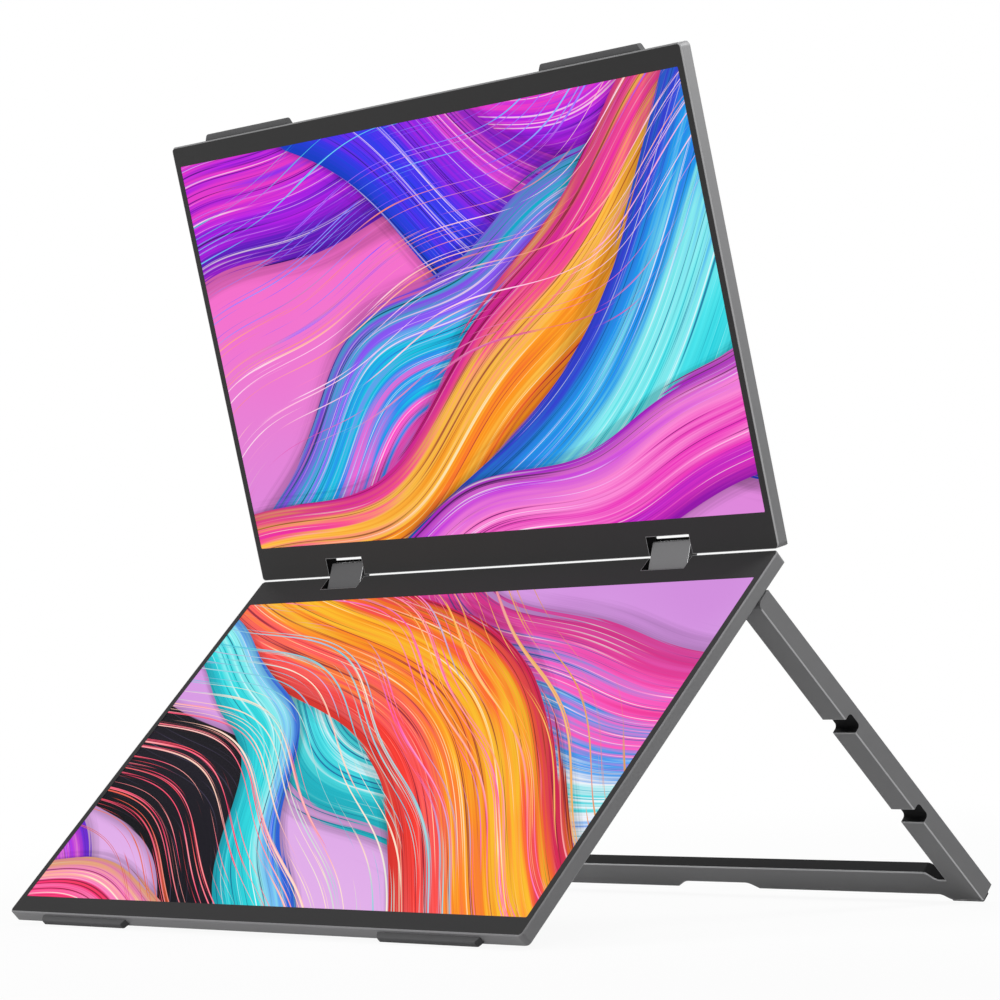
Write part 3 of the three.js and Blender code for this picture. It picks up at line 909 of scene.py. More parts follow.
@dataclass(frozen=True)
class Picture(Finish):
    """What a screen shows: abstract waves of streaks over each other, that give their own light."""

    ground: tuple[int, int, int]
    ribbons: tuple[Ribbon, ...]

    def lay(self, graph: Graph) -> None:
        """Lays the ground and the ribbons in the piece's own picture map.

        Args:
            graph: the material's tree.
        """
        at = graph.node("ShaderNodeUVMap", {"uv_map": "picture"})
        across, y, _ = graph.split(at)
        x = across * (DISPLAY_WIDTH / DISPLAY_HEIGHT)
        veil = graph.noise(graph.joined(x, y), 1.4)
        first, second, third = (linear(code) for code in self.ground)
        tone = graph.mix(first, second, veil.ramp(0.3, 0.7))
        tone = graph.mix(tone, third, (y + 0.4 * veil).ramp(1.1, 0.1))
        for ribbon in self.ribbons:
            tone = self._over(graph, tone, x, y, ribbon)
        graph.surface(
            Base_Color=linear(0x050506),
            Roughness=0.5,
            Specular_IOR_Level=0.01,
            Emission_Color=tone,
            Emission_Strength=0.96,
        )

    def _over(self, graph: Graph, below: Signal, x: Signal, y: Signal, ribbon: Ribbon) -> Signal:
        """Lays one ribbon over what is there.

        Args:
            graph: the tree.
            below: the picture so far.
            x: the place across, in picture heights.
            y: the place up, in picture heights.
            ribbon: the ribbon.

        Returns:
            The picture with it.
        """
        turn = math.radians(ribbon.angle)
        along = x * math.cos(turn) + y * math.sin(turn)
        aside = y * math.cos(turn) - x * math.sin(turn)
        for reach, rate, start in ribbon.waves:
            aside = aside - reach * (along * rate + start).sine()
        level = (aside - ribbon.middle) / (ribbon.half * (1.0 + ribbon.spread * along))
        edge, streaks, seed = abs(level), ribbon.streaks, ribbon.seed
        flow = graph.noise(graph.joined(along, level * 1.6, seed), 1.6)
        broad = graph.noise(graph.joined(along * 0.7, aside * 26.0, seed + 3.0), 1.3)
        fine = graph.noise(graph.joined(along * 0.5, aside * 95.0, seed + 7.0), 1.5, 2.0, 0.7)
        shift = (flow - 0.5) * 0.4 + (broad - 0.5) * 0.95 * streaks + (fine - 0.5) * 0.5 * streaks
        stops = {"stops": ribbon.stops}
        tone = graph.node("ShaderNodeValToRGB", stops, {0: level * 0.5 + 0.5 + shift})
        tone = graph.dimmed(tone, 0.74 + 0.52 * fine)
        glints = 0.85 * ribbon.cover * streaks * fine.ramp(0.6, 0.7)
        tone = graph.mix(tone, linear(ribbon.glint), glints)
        tone = graph.mix(tone, linear(ribbon.deep), 0.8 * streaks * fine.ramp(0.4, 0.33))
        tone = graph.dimmed(tone, edge.ramp(0.6, 1.0, 1.0, 0.7))
        fray = edge + 0.34 * streaks * (broad - 0.5) + 0.2 * streaks * (fine - 0.5)
        inside = fray.ramp(0.99, 1.0, 1.0, 0.0)
        if ribbon.cover < 1:
            bare = 0.3 * ribbon.cover
            return graph.mix(below, tone, inside * fine.ramp(0.67 - bare, 0.7 - bare))
        shadow = graph.dimmed(below, fray.ramp(0.97, 1.2, 0.6, 1.0))
        return graph.mix(shadow, tone, inside)


HOUSING = Anodised("screen_housing_metal", 0x7D7D7E, metallic=0.12, roughness=0.48)
# Painted highlight: a lighter, glossier copy of the housing metal, laid on chosen chamfers and edges as the lit
# edge lines
PAINTED_HIGHLIGHT_EDGE = Anodised("edge_metal_painted_highlight", 0xA6A6A7, metallic=0.8, roughness=0.36, relief=0.12)
STAND_METAL = Anodised("stand_frame_metal", 0x7A7A7B, metallic=0.1, roughness=0.5)
# One link metal in two copies: the left one painted darker as shade, with a coarser grain
LINK_METALS_WITH_PAINTED_SHADE = {
    Side.LEFT: Anodised("hinge_link_metal_painted_shade", 0x4F4F50, 0.12, 0.45, grain=2600.0),
    Side.RIGHT: Anodised("hinge_link_metal", 0x666667, 0.12, 0.45, grain=5200.0),
}
BEZEL = Moulded("bezel_matte_black", 0x393939, specular=0.01, roughness=0.7, relief=0.012)
# Painted shade: near-black laid on recess walls, notch floors and the crossbar's inner face, where shade falls
PAINTED_SHADE_BLACK = Moulded("painted_shade_black", 0x161617, specular=0.1, roughness=0.7, relief=0.012)
COVER = Moulded("rear_cover_plastic", 0x3A3B3D, grain=2200.0, relief=0.03)
BUTTON = Moulded("button_satin_black", 0x1E1E20, roughness=0.42, specular=0.4, grain=4200.0)
CONE = Moulded("speaker_frame_black", 0x17171A, roughness=0.7, grain=1200.0, relief=0.05)
TONGUE = Moulded("socket_tongue_black", 0x101012, roughness=0.5)
PANEL_EDGE = Moulded("panel_edge_black", 0x0C0C0E, roughness=0.4, specular=0.4)
STRIP_RUBBER = Rubber("edge_strip_rubber", 0x4C4C4D)
PAD_RUBBER = Rubber("foot_pad_rubber", 0x2B2B2D)
TURNED_STEEL = Steel("turned_steel", 0x9A9C9F, 0.32)
SCREW_STEEL = Steel("black_screw_steel", 0x4A4B4E, 0.38)
SOCKET_PLATE = Plated("socket_plate", 0xB8BABD, 0.22)
CONTACT_GOLD = Plated("contact_gold", 0xD9B25A, 0.25)

UPPER_PICTURE = Picture(
    "upper_screen_picture",
    ground=(0xFF74CB, 0xFB6AD0, 0xE28BE0),
    ribbons=(
        Ribbon(
            angle=14, middle=0.86, half=0.30, spread=0.10, streaks=0.9, seed=2.0,
            waves=((0.10, 2.6, 0.4), (0.04, 6.1, 1.0)),
            stops=((0.0, 0x6A1FD0), (0.25, 0xB21EE8), (0.45, 0xF03CCB),
                   (0.62, 0x7A2CF0), (0.82, 0x3B35E8), (1.0, 0xE64BE0)),
        ),
        Ribbon(
            angle=-24, middle=1.18, half=0.20, spread=0.25, streaks=1.0, seed=9.0,
            waves=((0.12, 2.1, 2.2), (0.03, 7.0, 0.0)),
            stops=((0.0, 0x1E4BEB), (0.3, 0x3D37F2), (0.5, 0x6B2BEF),
                   (0.72, 0x9F25E6), (1.0, 0xF04FD6)),
        ),
        Ribbon(
            angle=33, middle=-0.30, half=0.26, spread=0.18, streaks=1.0, seed=4.0,
            waves=((0.14, 2.3, 0.2), (0.03, 8.0, 2.0)),
            stops=((0.0, 0x7A1FD8), (0.2, 0xFF2FB4), (0.42, 0xFF66D8),
                   (0.6, 0x2B8CF2), (0.8, 0x11C9E6), (1.0, 0x8F5BFF)),
        ),
        Ribbon(
            angle=21, middle=-0.02, half=0.15, spread=0.30, streaks=1.0, seed=6.0,
            waves=((0.16, 2.0, 3.6), (0.03, 6.4, 1.2)),
            stops=((0.0, 0xFF2D5A), (0.25, 0xFF5A36), (0.5, 0xFF9A1E),
                   (0.7, 0xFFC24A), (0.85, 0xFF5A8C), (1.0, 0xF02DA6)),
            glint=0xFFF1C4, deep=0x8A1038,
        ),
        Ribbon(
            angle=40, middle=-0.62, half=0.17, spread=0.2, streaks=0.9, seed=12.0,
            waves=((0.10, 2.8, 1.2),),
            stops=((0.0, 0x18D0E0), (0.3, 0x4CE6EE), (0.5, 0x8AF0F4),
                   (0.7, 0x1E9CF0), (1.0, 0x3A48E6)),
            glint=0xF4FFFF, deep=0x123C8C,
        ),
        Ribbon(
            angle=26, middle=-0.46, half=0.09, spread=0.3, streaks=1.0, seed=15.0,
            waves=((0.12, 2.4, 0.6), (0.02, 9.0, 0.5)),
            stops=((0.0, 0xB01CC8), (0.35, 0xF23AC0), (0.6, 0xFF8AD8), (1.0, 0xC22CE0)),
        ),
        Ribbon(
            angle=27, middle=0.30, half=0.34, spread=0.1, streaks=1.0, seed=21.0,
            waves=((0.13, 2.2, 0.9), (0.03, 6.8, 0.6)),
            stops=((0.0, 0xFF3FB0), (0.3, 0xFFD9F2), (0.5, 0xFF8A3C),
                   (0.7, 0x7C3BFF), (1.0, 0x21C6F0)),
            glint=0xFFF4FF, deep=0x4A1470, cover=0.25,
        ),
    ),
)
LOWER_PICTURE = Picture(
    "lower_screen_picture",
    ground=(0xDDA0EA, 0xD692E2, 0xE6B4EE),
    ribbons=(
        Ribbon(
            angle=-30, middle=0.36, half=0.17, spread=0.1, streaks=0.25, seed=3.0,
            waves=((0.10, 2.4, 1.4), (0.03, 6.0, 0.0)),
            stops=((0.0, 0x0B0B12), (0.3, 0x12101A), (0.7, 0x191420), (1.0, 0x0D0A12)),
            glint=0x8C7FB0, deep=0x000000,
        ),
        Ribbon(
            angle=-18, middle=1.0, half=0.31, spread=0.12, streaks=1.0, seed=5.0,
            waves=((0.12, 2.2, 2.6), (0.03, 6.6, 1.0)),
            stops=((0.0, 0x19C9DA), (0.2, 0x4BE3EA), (0.4, 0xF6F9FF),
                   (0.55, 0x2A9CF0), (0.78, 0xFF5FC4), (1.0, 0xF53FA0)),
            glint=0xFFFFFF, deep=0x1B4E9C,
        ),
        Ribbon(
            angle=-34, middle=0.98, half=0.20, spread=0.16, streaks=1.0, seed=8.0,
            waves=((0.12, 2.6, 0.2),),
            stops=((0.0, 0xFF3A2E), (0.22, 0xFF5A5A), (0.45, 0xFF8A1E),
                   (0.65, 0xFFC22E), (0.85, 0xFF6A2E), (1.0, 0xF02D60)),
            glint=0xFFF4D0, deep=0x7A1030,
        ),
        Ribbon(
            angle=-26, middle=0.02, half=0.15, spread=0.3, streaks=1.0, seed=11.0,
            waves=((0.10, 2.7, 3.0), (0.02, 8.2, 2.0)),
            stops=((0.0, 0xF02DA6), (0.25, 0xFF5FC4), (0.5, 0xFF9AD8),
                   (0.7, 0xC63CE0), (1.0, 0x7A2CF0)),
        ),
        Ribbon(
            angle=-12, middle=-0.12, half=0.13, spread=0.35, streaks=1.0, seed=14.0,
            waves=((0.12, 2.1, 1.0), (0.03, 7.4, 0.4)),
            stops=((0.0, 0xFF7A1E), (0.3, 0xFF4A3C), (0.55, 0xFF2F7A),
                   (0.8, 0xFF8AC8), (1.0, 0xFFB48A)),
            glint=0xFFF4E0, deep=0x6A1030,
        ),
        Ribbon(
            angle=-40, middle=0.62, half=0.085, spread=0.3, streaks=1.0, seed=17.0,
            waves=((0.09, 3.0, 2.0), (0.02, 9.0, 1.0)),
            stops=((0.0, 0x0FB6C8), (0.4, 0x2FE0E6), (0.7, 0x9AF4F6), (1.0, 0x2A6CF0)),
            glint=0xFFFFFF, deep=0x0C3A78,
        ),
        Ribbon(
            angle=-31, middle=0.72, half=0.62, spread=0.05, streaks=1.0, seed=24.0,
            waves=((0.12, 2.3, 0.9), (0.03, 6.2, 1.6)),
            stops=((0.0, 0xFF6A2E), (0.25, 0xFF3A6E), (0.45, 0xFFE3C8),
                   (0.6, 0x1FC3D8), (0.8, 0xFF4FB8), (1.0, 0xFFB040)),
            glint=0xFFFFFF, deep=0x2A1020, cover=0.3,
        ),
    ),
)


# Sub-assemblies


@dataclass
class Frames:
    """Where each sub-assembly's own frame stands at rest, worked out from the record."""

    open_angle: float = 92.0

    def __post_init__(self) -> None:
        """Reads the joints' places and the screens' directions."""
        self.joints = {j["name"]: Vector(j.get("pos_m") or (0, 0, 0)) for j in frame["joints"]}
        self.backs = {m["name"]: Vector(m["axis"]).normalized() for m in frame["record"]["mounts"]}

    def _standing(self, origin: Vector, across: Vector, out: Vector) -> Matrix:
        """A frame from its origin, its x axis and its z axis."""
        turn = Matrix((across, out.cross(across), out)).transposed().to_4x4()
        return Matrix.Translation(origin) @ turn

    def screen(self, level: Level) -> Matrix:
        """A screen's own frame. The lower screen's is turned end for end.

        Args:
            level: which screen.

        Returns:
            The frame.
        """
        across = ACROSS if level is Level.UPPER else -ACROSS
        out = -self.backs[f"{level.value}_back_face"]
        turned = self._standing(Vector(), across, out)
        shaft = turned @ (Vector((0, SHAFT_FROM_EDGE, MIDDLE)) * MM)
        return Matrix.Translation(self.joints[f"{level.value}_hinge_fold"] - shaft) @ turned

    def housing(self) -> Matrix:
        """The rear housing's frame, with y up along the lower screen."""
        return self.screen(Level.LOWER) @ Matrix.Rotation(math.pi, 4, "Z")

    def stand(self) -> Matrix:
        """The stand's frame, on its pivot axis.

        Returns:
            The frame.
        """
        leant = self.housing().to_3x3().to_4x4()
        opened = Matrix.Rotation(math.radians(self.open_angle), 4, "X")
        return Matrix.Translation(self.joints["stand_fold"]) @ leant @ opened

    def links(self) -> Matrix:
        """The hinge links' frame, on the lower shaft, with y towards the upper one."""
        low, high = self.joints["lower_hinge_fold"], self.joints["upper_hinge_fold"]
        return self._standing(low, ACROSS, ACROSS.cross((high - low).normalized()))


@dataclass
class Screen:
    """One screen: metal housing, front bezel, lit panel, power button and rubber strips."""

    level: Level
    place: Matrix
    picture: Picture
    cut_depth: float
    height: float = 219.4
    corner: float = 2.4
    least_corner: float = 0.4
    wall: float = 1.4
    rear_wall: float = 0.9
    spare: float = 5.0
    rim: float = 0.7
    chamfer: float = 0.45
    back_chamfer: float = 0.8
    metal_edge: float = 0.07
    hinge_rim: float = 0.25
    lip: float = 0.4
    cut_half: float = 13.25
    shaft_bore: float = 2.9
    guard: Span = (4.7, 6.2)
    guard_thickness: float = 0.7
    guard_overlap: float = 0.2
    guard_edge: float = 0.15
    bezel_depth: float = 0.85
    bezel_edge: float = 0.06
    hinge_bezel: float = 15.8
    display_corner: float = 0.7
    panel_border: float = 2.0
    panel_back: float = -2.3
    panel_step: float = -1.1
    panel_front: float = -0.12
    panel_edge: float = 0.03
    button_at: float = 7.6
    button: Span = (8.0, 2.4)
    button_gap: float = 0.15
    button_edge: float = 0.18
    flange: float = 0.6
    flange_behind_wall: Span = (1.1, 0.3)
    strip_centre: float = 119.0
    strip_length: float = 64.0
    strip_thickness: float = 3.3
    strip_height: float = 3.0
    strip_overlap: float = 0.05
    strip_slope: float = 1.8
    strip_crown: float = 0.9
    strip_edge: float = 0.35

    def __post_init__(self) -> None:
        """Works out which way the screen's own left is."""
        self.facing = 1 if self.level is Level.UPPER else -1
        self.half = WIDTH / 2

    def build(self) -> None:
        """Builds and dresses every piece of the screen."""
        self._housing()
        self._guards()
        self._bezel()
        self._panel()
        self._button()
        for side in Side:
            self._strip(side)

    def _install(
        self, piece: Piece, name: str, slot: Optional[str] = None, node: str = "",
        body: str = "screen",
    ) -> None:
        """Installs a piece, each name with the screen's before it.

        Args:
            piece: the finished piece.
            name: its name.
            slot: passed on to the piece's install, which does not use it.
            node: the node that it stands for.
            body: the body that it moves with.
        """
        own = self.level.value
        nodes = [f"{own}_{node}"] if node else []
        piece.install(f"{own}_{name}", self.place, f"{own}_{body}", slot, nodes)

    def _tray(self, inset: float, hinge_inset: float, z: Span) -> Piece:
        """A block of the screen's outline drawn in by an inset, with its hinge cut-outs.

        Args:
            inset: how far it is drawn in at three sides.
            hinge_inset: how far at the hinge edge and round the cut-outs.
            z: its two ends along z.

        Returns:
            The block.
        """
        side = self.half - inset
        up = (hinge_inset - self.lip, self.height - inset)
        radius = max(self.corner - inset, self.least_corner)
        made = Piece.rounded((-side, side), up, z, Axis.Z, radius)
        depth = (-OVERRUN, self.cut_depth + hinge_inset)
        through = (z[0] - OVERRUN, z[1] + OVERRUN)
        for sign in (-1, 1):
            across = about(sign * HINGE_CENTRE, (self.cut_half + hinge_inset) * 2)
            made.cut(Piece.block(across, depth, through))
        return made

    def _blank(self) -> Piece:
        """The plate that the housing is cut from, chamfered and longer at the hinge edge.

        Returns:
            The plate.
        """
        back, middle = -THICKNESS, self.height / 2
        made = Piece.block((-self.half, self.half), (-self.spare, self.height), (back, 0))
        made.bevel(lambda p: abs(p.z - MIDDLE) < NEAR and p.y > middle, self.corner, 8)
        made.bevel(lambda p: p.z > -NEAR, self.chamfer)
        return made.bevel(lambda p: p.z < back + NEAR, self.back_chamfer)

    def _housing(self) -> None:
        """The metal tray: chamfered rim, bezel rebate, cavity, hinge cut-outs and button hole."""
        back = -THICKNESS
        made = self._blank().meet(self._tray(0, 0, (back - OVERRUN, OVERRUN)))
        made.cut(self._tray(self.wall, self.wall, (back + self.rear_wall, OVERRUN)))
        made.cut(self._tray(self.rim, self.hinge_rim, (-self.bezel_depth, OVERRUN)))
        for sign in (-1, 1):
            run = about(sign * HINGE_CENTRE, (self.cut_half + self.wall + OVERRUN) * 2)
            made.cut(Piece.rod(self.shaft_bore, run, (SHAFT_FROM_EDGE, MIDDLE)))
        made.cut(self._button_bar(self.button_gap, self.wall + OVERRUN, -OVERRUN))
        made.tidied().soften(self.metal_edge, angle=25).smooth()
        # The upper screen's side chamfers get a painted highlight, and the hinge recess walls are painted black as
        # shade
        chamfers = PAINTED_HIGHLIGHT_EDGE if self.level is Level.UPPER else HOUSING
        made.paint(HOUSING, chamfers, PAINTED_SHADE_BLACK, where=self._housing_finish)
        self._install(made, "housing", "housing_metal", "rear_shell")

    def _housing_finish(self, at: Vector, normal: Vector) -> int:
        """Which finish a face of the housing has.

        Args:
            at: the face's middle.
            normal: its normal.

        Returns:
            1 on the side chamfers, where the upper screen has a painted highlight, 2 in the hinge recesses,
            painted black as shade, otherwise 0.
        """
        beside = abs(abs(at.x) - HINGE_CENTRE) < self.cut_half + self.wall
        recessed = NEAR < at.y < self.cut_depth + self.wall
        if beside and recessed and abs(normal.z) < TURNED:
            return 2
        return int(TURNED < normal.z < 0.95 and abs(normal.x) > TURNED)

    def _guards(self) -> None:
        """The bars that cross the hinge recesses at the back, above the links, painted black as the shade inside
        the recess.
        """
        length = (self.cut_half + self.guard_overlap) * 2
        z = (-THICKNESS, self.guard_thickness - THICKNESS)
        left, right = (
            Piece.block(about(sign * HINGE_CENTRE, length), self.guard, z) for sign in (-1, 1)
        )
        left.gathered([right]).soften(self.guard_edge).smooth()
        # Painted shade: the bars are black where the recess lies in shade
        left.paint(PAINTED_SHADE_BLACK)
        self._install(left, "recess_shade_bars")

    def _bezel(self) -> None:
        """The matte frame round the picture."""
        made = self._tray(self.rim, self.hinge_rim, (-self.bezel_depth, 0))
        made.cut(self._display_block((-self.bezel_depth - OVERRUN, OVERRUN)))
        made.tidied().soften(self.bezel_edge).smooth()
        made.paint(BEZEL)
        self._install(made, "bezel", "bezel_plastic", "front_bezel")

    def _display_block(self, z: Span) -> Piece:
        """A block of the display's outline, its four corners rounded."""
        x, y = about(0, DISPLAY_WIDTH), about(self.hinge_bezel + DISPLAY_HEIGHT / 2, DISPLAY_HEIGHT)
        return Piece.rounded(x, y, z, Axis.Z, self.display_corner, 5)

    def _panel(self) -> None:
        """The lit panel: a plate behind the bezel, stepped up into its window."""
        border = self.panel_border
        made = Piece.block(
            about(0, DISPLAY_WIDTH + border * 2),
            (self.hinge_bezel - border, self.hinge_bezel + DISPLAY_HEIGHT + border),
            (self.panel_back, self.panel_step),
        )
        made.add(self._display_block((self.panel_step - OVERRUN / 2, self.panel_front)))
        made.tidied().soften(self.panel_edge, 1)
        self._map_picture(made)
        front = self.panel_front - NEAR
        made.paint(
            PANEL_EDGE, self.picture, where=lambda at, normal: int(at.z > front and normal.z > 0.9)
        )
        self._install(made, "lit_panel", "panel_glass", "display_panel")

    def _map_picture(self, piece: Piece) -> None:
        """Spreads the picture over the panel, upright as the viewer sees it.

        Args:
            piece: the panel.
        """
        mesh = piece.object.data
        layer = mesh.uv_layers.new(name="picture")
        for loop in mesh.loops:
            point = mesh.vertices[loop.vertex_index].co / MM
            across = point.x / DISPLAY_WIDTH * self.facing + 0.5
            up = (point.y - self.hinge_bezel) / DISPLAY_HEIGHT
            layer.data[loop.index].uv = (across, up if self.level is Level.UPPER else 1 - up)

    def _button_bar(self, grow: float, inner: float, outer: float) -> Piece:
        """The power button's round-ended shape, grown on every side.

        Args:
            grow: how far it is grown.
            inner: how far inside the screen's left edge it starts.
            outer: how far inside that edge it ends.

        Returns:
            The shape.
        """
        run = (self.facing * (inner - self.half), self.facing * (outer - self.half))
        return Piece.bar(run, (self.button_at, MIDDLE), grown(self.button, grow * 2))

    def _button(self) -> None:
        """The power button in the left edge, with its flange behind the wall."""
        inner, outer = (self.wall + depth for depth in self.flange_behind_wall)
        cap = self._button_bar(0, inner, 0)
        cap.add(self._button_bar(self.flange, inner, outer))
        cap.tidied().soften(self.button_edge, 3).smooth()
        cap.paint(BUTTON)
        self._install(cap, "power_key_cap", "button_plastic", "power_button", "power_key")

    def _strip(self, side: Side) -> None:
        """A rubber strip on the outer edge: sloped ends and a crown rounded on both sides.

        Args:
            side: which half of the edge it lies on.
        """
        centre = side.value * self.facing * self.strip_centre
        crown, reach = self.height + self.strip_height, self.strip_length / 2
        made = Piece.block(
            about(centre, self.strip_length),
            (self.height - self.strip_overlap, crown),
            about(MIDDLE, self.strip_thickness),
        )
        narrowed = ((reach - self.strip_slope) / reach, 1, 1)
        made.stretch(lambda p: p.y > crown - NEAR, narrowed, (centre, crown, MIDDLE))
        beside = self.strip_thickness / 2 - NEAR
        made.bevel(lambda p: p.y > crown - NEAR and abs(p.z - MIDDLE) > beside, self.strip_crown, 5)
        made.soften(self.strip_edge, 3, 35).smooth()
        made.paint(STRIP_RUBBER)
        where = side.name.lower()
        self._install(made, f"rubber_strip_{where}", "strip_rubber", f"edge_strip_{where}")


@dataclass
class HingeLinks:
    """The two links between the screens' shafts."""

    place: Matrix
    width: float = 24.0
    thickness: float = 5.0
    spacing: float = 8.2
    bore: float = 2.8
    top_reach: float = 3.0
    front_round: float = 0.8
    edge: float = 0.35

    def build(self) -> None:
        """Builds one link and its twin."""
        for side in Side:
            self._link(side)

    def _link(self, side: Side) -> None:
        """A block with a flat front, rounded behind over both shafts and bored for them.

        Args:
            side: which link.
        """
        middle, half = side.value * HINGE_CENTRE, self.thickness / 2
        low, high = -half, self.spacing + self.top_reach
        made = Piece.block(about(middle, self.width), (low, high), (-half, half))
        for face, radius, segments in ((-1, half - FLAT * 2, 14), (1, self.front_round, 5)):
            made.bevel(
                lambda p: p.z * face > half - NEAR and not low + NEAR < p.y < high - NEAR,
                radius, segments,
            )
        for y in (0, self.spacing):
            made.cut(Piece.rod(self.bore, about(middle, self.width + OVERRUN), (y, 0)))
        made.tidied().soften(self.edge, 3).smooth()
        # Faces turned right and forward get a painted highlight edge
        made.paint(
            LINK_METALS_WITH_PAINTED_SHADE[side],
            PAINTED_HIGHLIGHT_EDGE,
            where=lambda at, normal: int(min(normal.x, normal.z) > 0.25),
        )
        name = f"hinge_link_{side.name.lower()}"
        made.install(f"{name}_block", self.place, "hinge_links", "link_metal", [name])


@dataclass
class Stand:
    """The U-shaped stand: notched legs, a thinner crossbar and two foot pads."""

    place: Matrix
    leg_width: float = 13.5
    leg_front: float = 3.0
    leg_back: float = -6.2
    leg_top: float = 3.0
    leg_bottom: float = -191.2
    toe: float = 0.55
    end_round: float = 2.6
    end_bevel: float = 0.23
    notches: tuple[float, float] = (77.2, 136.7)
    notch_width: float = 8.4
    notch_depth: float = 4.4
    notch_round: float = 1.9
    bar_thickness: float = 6.2
    bar_inner: float = -172.95
    bar_outer: float = -188.2
    bar_drop: float = 5.0
    jog_length: float = 3.8
    jog_from_leg: float = 5.2
    jog_round: float = 1.5
    lip_floor: Span = (-5.8, 35.9)
    lip_slopes: Span = (7.4, 4.8)
    lip_depth: float = 4.0
    lip_round: float = 2.0
    pin_bore: float = 3.6
    pin_in_leg: float = 9.3
    edge: float = 0.5
    back_edge: float = 0.2
    pad_thickness: float = 0.65
    pad_width: float = 5.4
    pad_inset: float = 0.1
    pad_corner: float = 0.8
    pad_edge: float = 0.15

    def build(self) -> None:
        """Builds and dresses the frame and its pads."""
        self.half = WIDTH / 2
        self.leg_inner = self.half - self.leg_width
        self.foot = self.leg_bottom - self.toe
        self._frame()
        for side in Side:
            self._pad(side)

    def _leg(self, side: Side) -> Piece:
        """A leg with a rounded pivot end and two notches in its front face.

        Args:
            side: which leg.

        Returns:
            The leg.
        """
        top, front = self.leg_top - NEAR, self.leg_front - NEAR
        x = (side.value * self.leg_inner, side.value * self.half)
        made = Piece.block(x, (self.leg_bottom, self.leg_top), (self.leg_back, self.leg_front))
        made.shift(lambda p: p.y < self.leg_bottom + NEAR and p.z > front, (0, -self.toe, 0))
        made.bevel(lambda p: p.y > top and p.z > front, self.end_round, 10)
        made.bevel(lambda p: p.y > top and p.z < self.leg_back + NEAR, self.end_bevel)
        for distance in self.notches:
            made.cut(self._notch(side, self.leg_top - distance))
        return made

    def _notch(self, side: Side, y: float) -> Piece:
        """The tool that cuts one notch.

        Args:
            side: which leg it is for.
            y: the notch's middle.

        Returns:
            The tool.
        """
        floor, half = self.leg_front - self.notch_depth, self.notch_width / 2
        x = (side.value * (self.leg_inner - OVERRUN), side.value * (self.half + OVERRUN))
        tool = Piece.block(x, about(y, self.notch_width), (floor, self.leg_front + OVERRUN))
        return tool.bevel(
            lambda p: p.z < floor + NEAR and abs(p.y - y) > half - NEAR, self.notch_round, 8
        )

    def _bar(self) -> Piece:
        """The crossbar, let down at both ends into the feet, with the finger notch below.

        Returns:
            The crossbar.
        """
        end = self.half - self.leg_width / 2
        outer = self.leg_inner - self.jog_from_leg
        inner = outer - self.jog_length
        z = (self.leg_front - self.bar_thickness, self.leg_front)
        made = Piece.block((-end, end), (self.bar_outer, self.bar_inner), z)
        made.slice((-outer, -inner, inner, outer))
        middle = (self.bar_inner + self.bar_outer) / 2
        made.shift(lambda p: abs(p.x) > outer - NEAR and p.y > middle, (0, -self.bar_drop, 0))
        drop = self.foot - self.bar_outer
        made.shift(lambda p: abs(p.x) > outer - NEAR and p.y < middle, (0, drop, 0))
        made.bevel(
            lambda p: abs(p.z - sum(z) / 2) < NEAR
            and min(abs(abs(p.x) - outer), abs(abs(p.x) - inner)) < NEAR,
            self.jog_round, 5,
        )
        floor, below = self.bar_outer + self.lip_depth, self.bar_outer - self.lip_depth
        tool = Piece.block(self.lip_floor, (below, floor), (z[0] - OVERRUN, z[1] + OVERRUN))
        for at, slope in zip(self.lip_floor, (-self.lip_slopes[0], self.lip_slopes[1])):
            tool.shift(lambda p: p.y < below + NEAR and abs(p.x - at) < NEAR, (slope * 2, 0, 0))
            tool.bevel(lambda p: p.y > floor - NEAR and abs(p.x - at) < NEAR, self.lip_round, 5)
        return made.cut(tool)

    def _frame(self) -> None:
        """Legs and crossbar in one piece, bored for the pins."""
        made = self._bar()
        for side in Side:
            made.add(self._leg(side))
        for sign in (-1, 1):
            run = (sign * (self.leg_inner - OVERRUN), sign * (self.leg_inner + self.pin_in_leg))
            made.cut(Piece.rod(self.pin_bore, run, (0, 0)))
        made.tidied().bevel(lambda p: p.z > self.leg_front - NEAR, self.edge, 2)
        made.soften(self.back_edge, angle=50).smooth()
        # The front edges get a painted highlight; the notch floors and the crossbar's inner face are painted black
        # as shade
        made.paint(STAND_METAL, PAINTED_HIGHLIGHT_EDGE, PAINTED_SHADE_BLACK, where=self._frame_finish)
        made.install("stand_u_frame", self.place, "stand", "stand_metal", ["stand_frame"])

    def _frame_finish(self, at: Vector, normal: Vector) -> int:
        """Which finish a face of the frame has.

        Args:
            at: the face's middle.
            normal: its normal.

        Returns:
            1 on the front edges, a painted highlight, 2 in the notches and inside the crossbar, painted black as
            shade, otherwise 0.
        """
        if at.z > self.leg_front - self.edge and at.y < 0 and 0.2 < normal.z < 0.98:
            return 1
        in_window = abs(at.x) < self.leg_inner and at.y < self.bar_inner + NEAR
        reach = self.notch_width / 2 + NEAR
        in_notch = any(abs(self.leg_top - d - at.y) < reach for d in self.notches)
        sunk = self.leg_back + OVERRUN < at.z < self.leg_front - NEAR
        if in_window and normal.y > TURNED or in_notch and sunk and abs(normal.x) < TURNED:
            return 2
        return 0

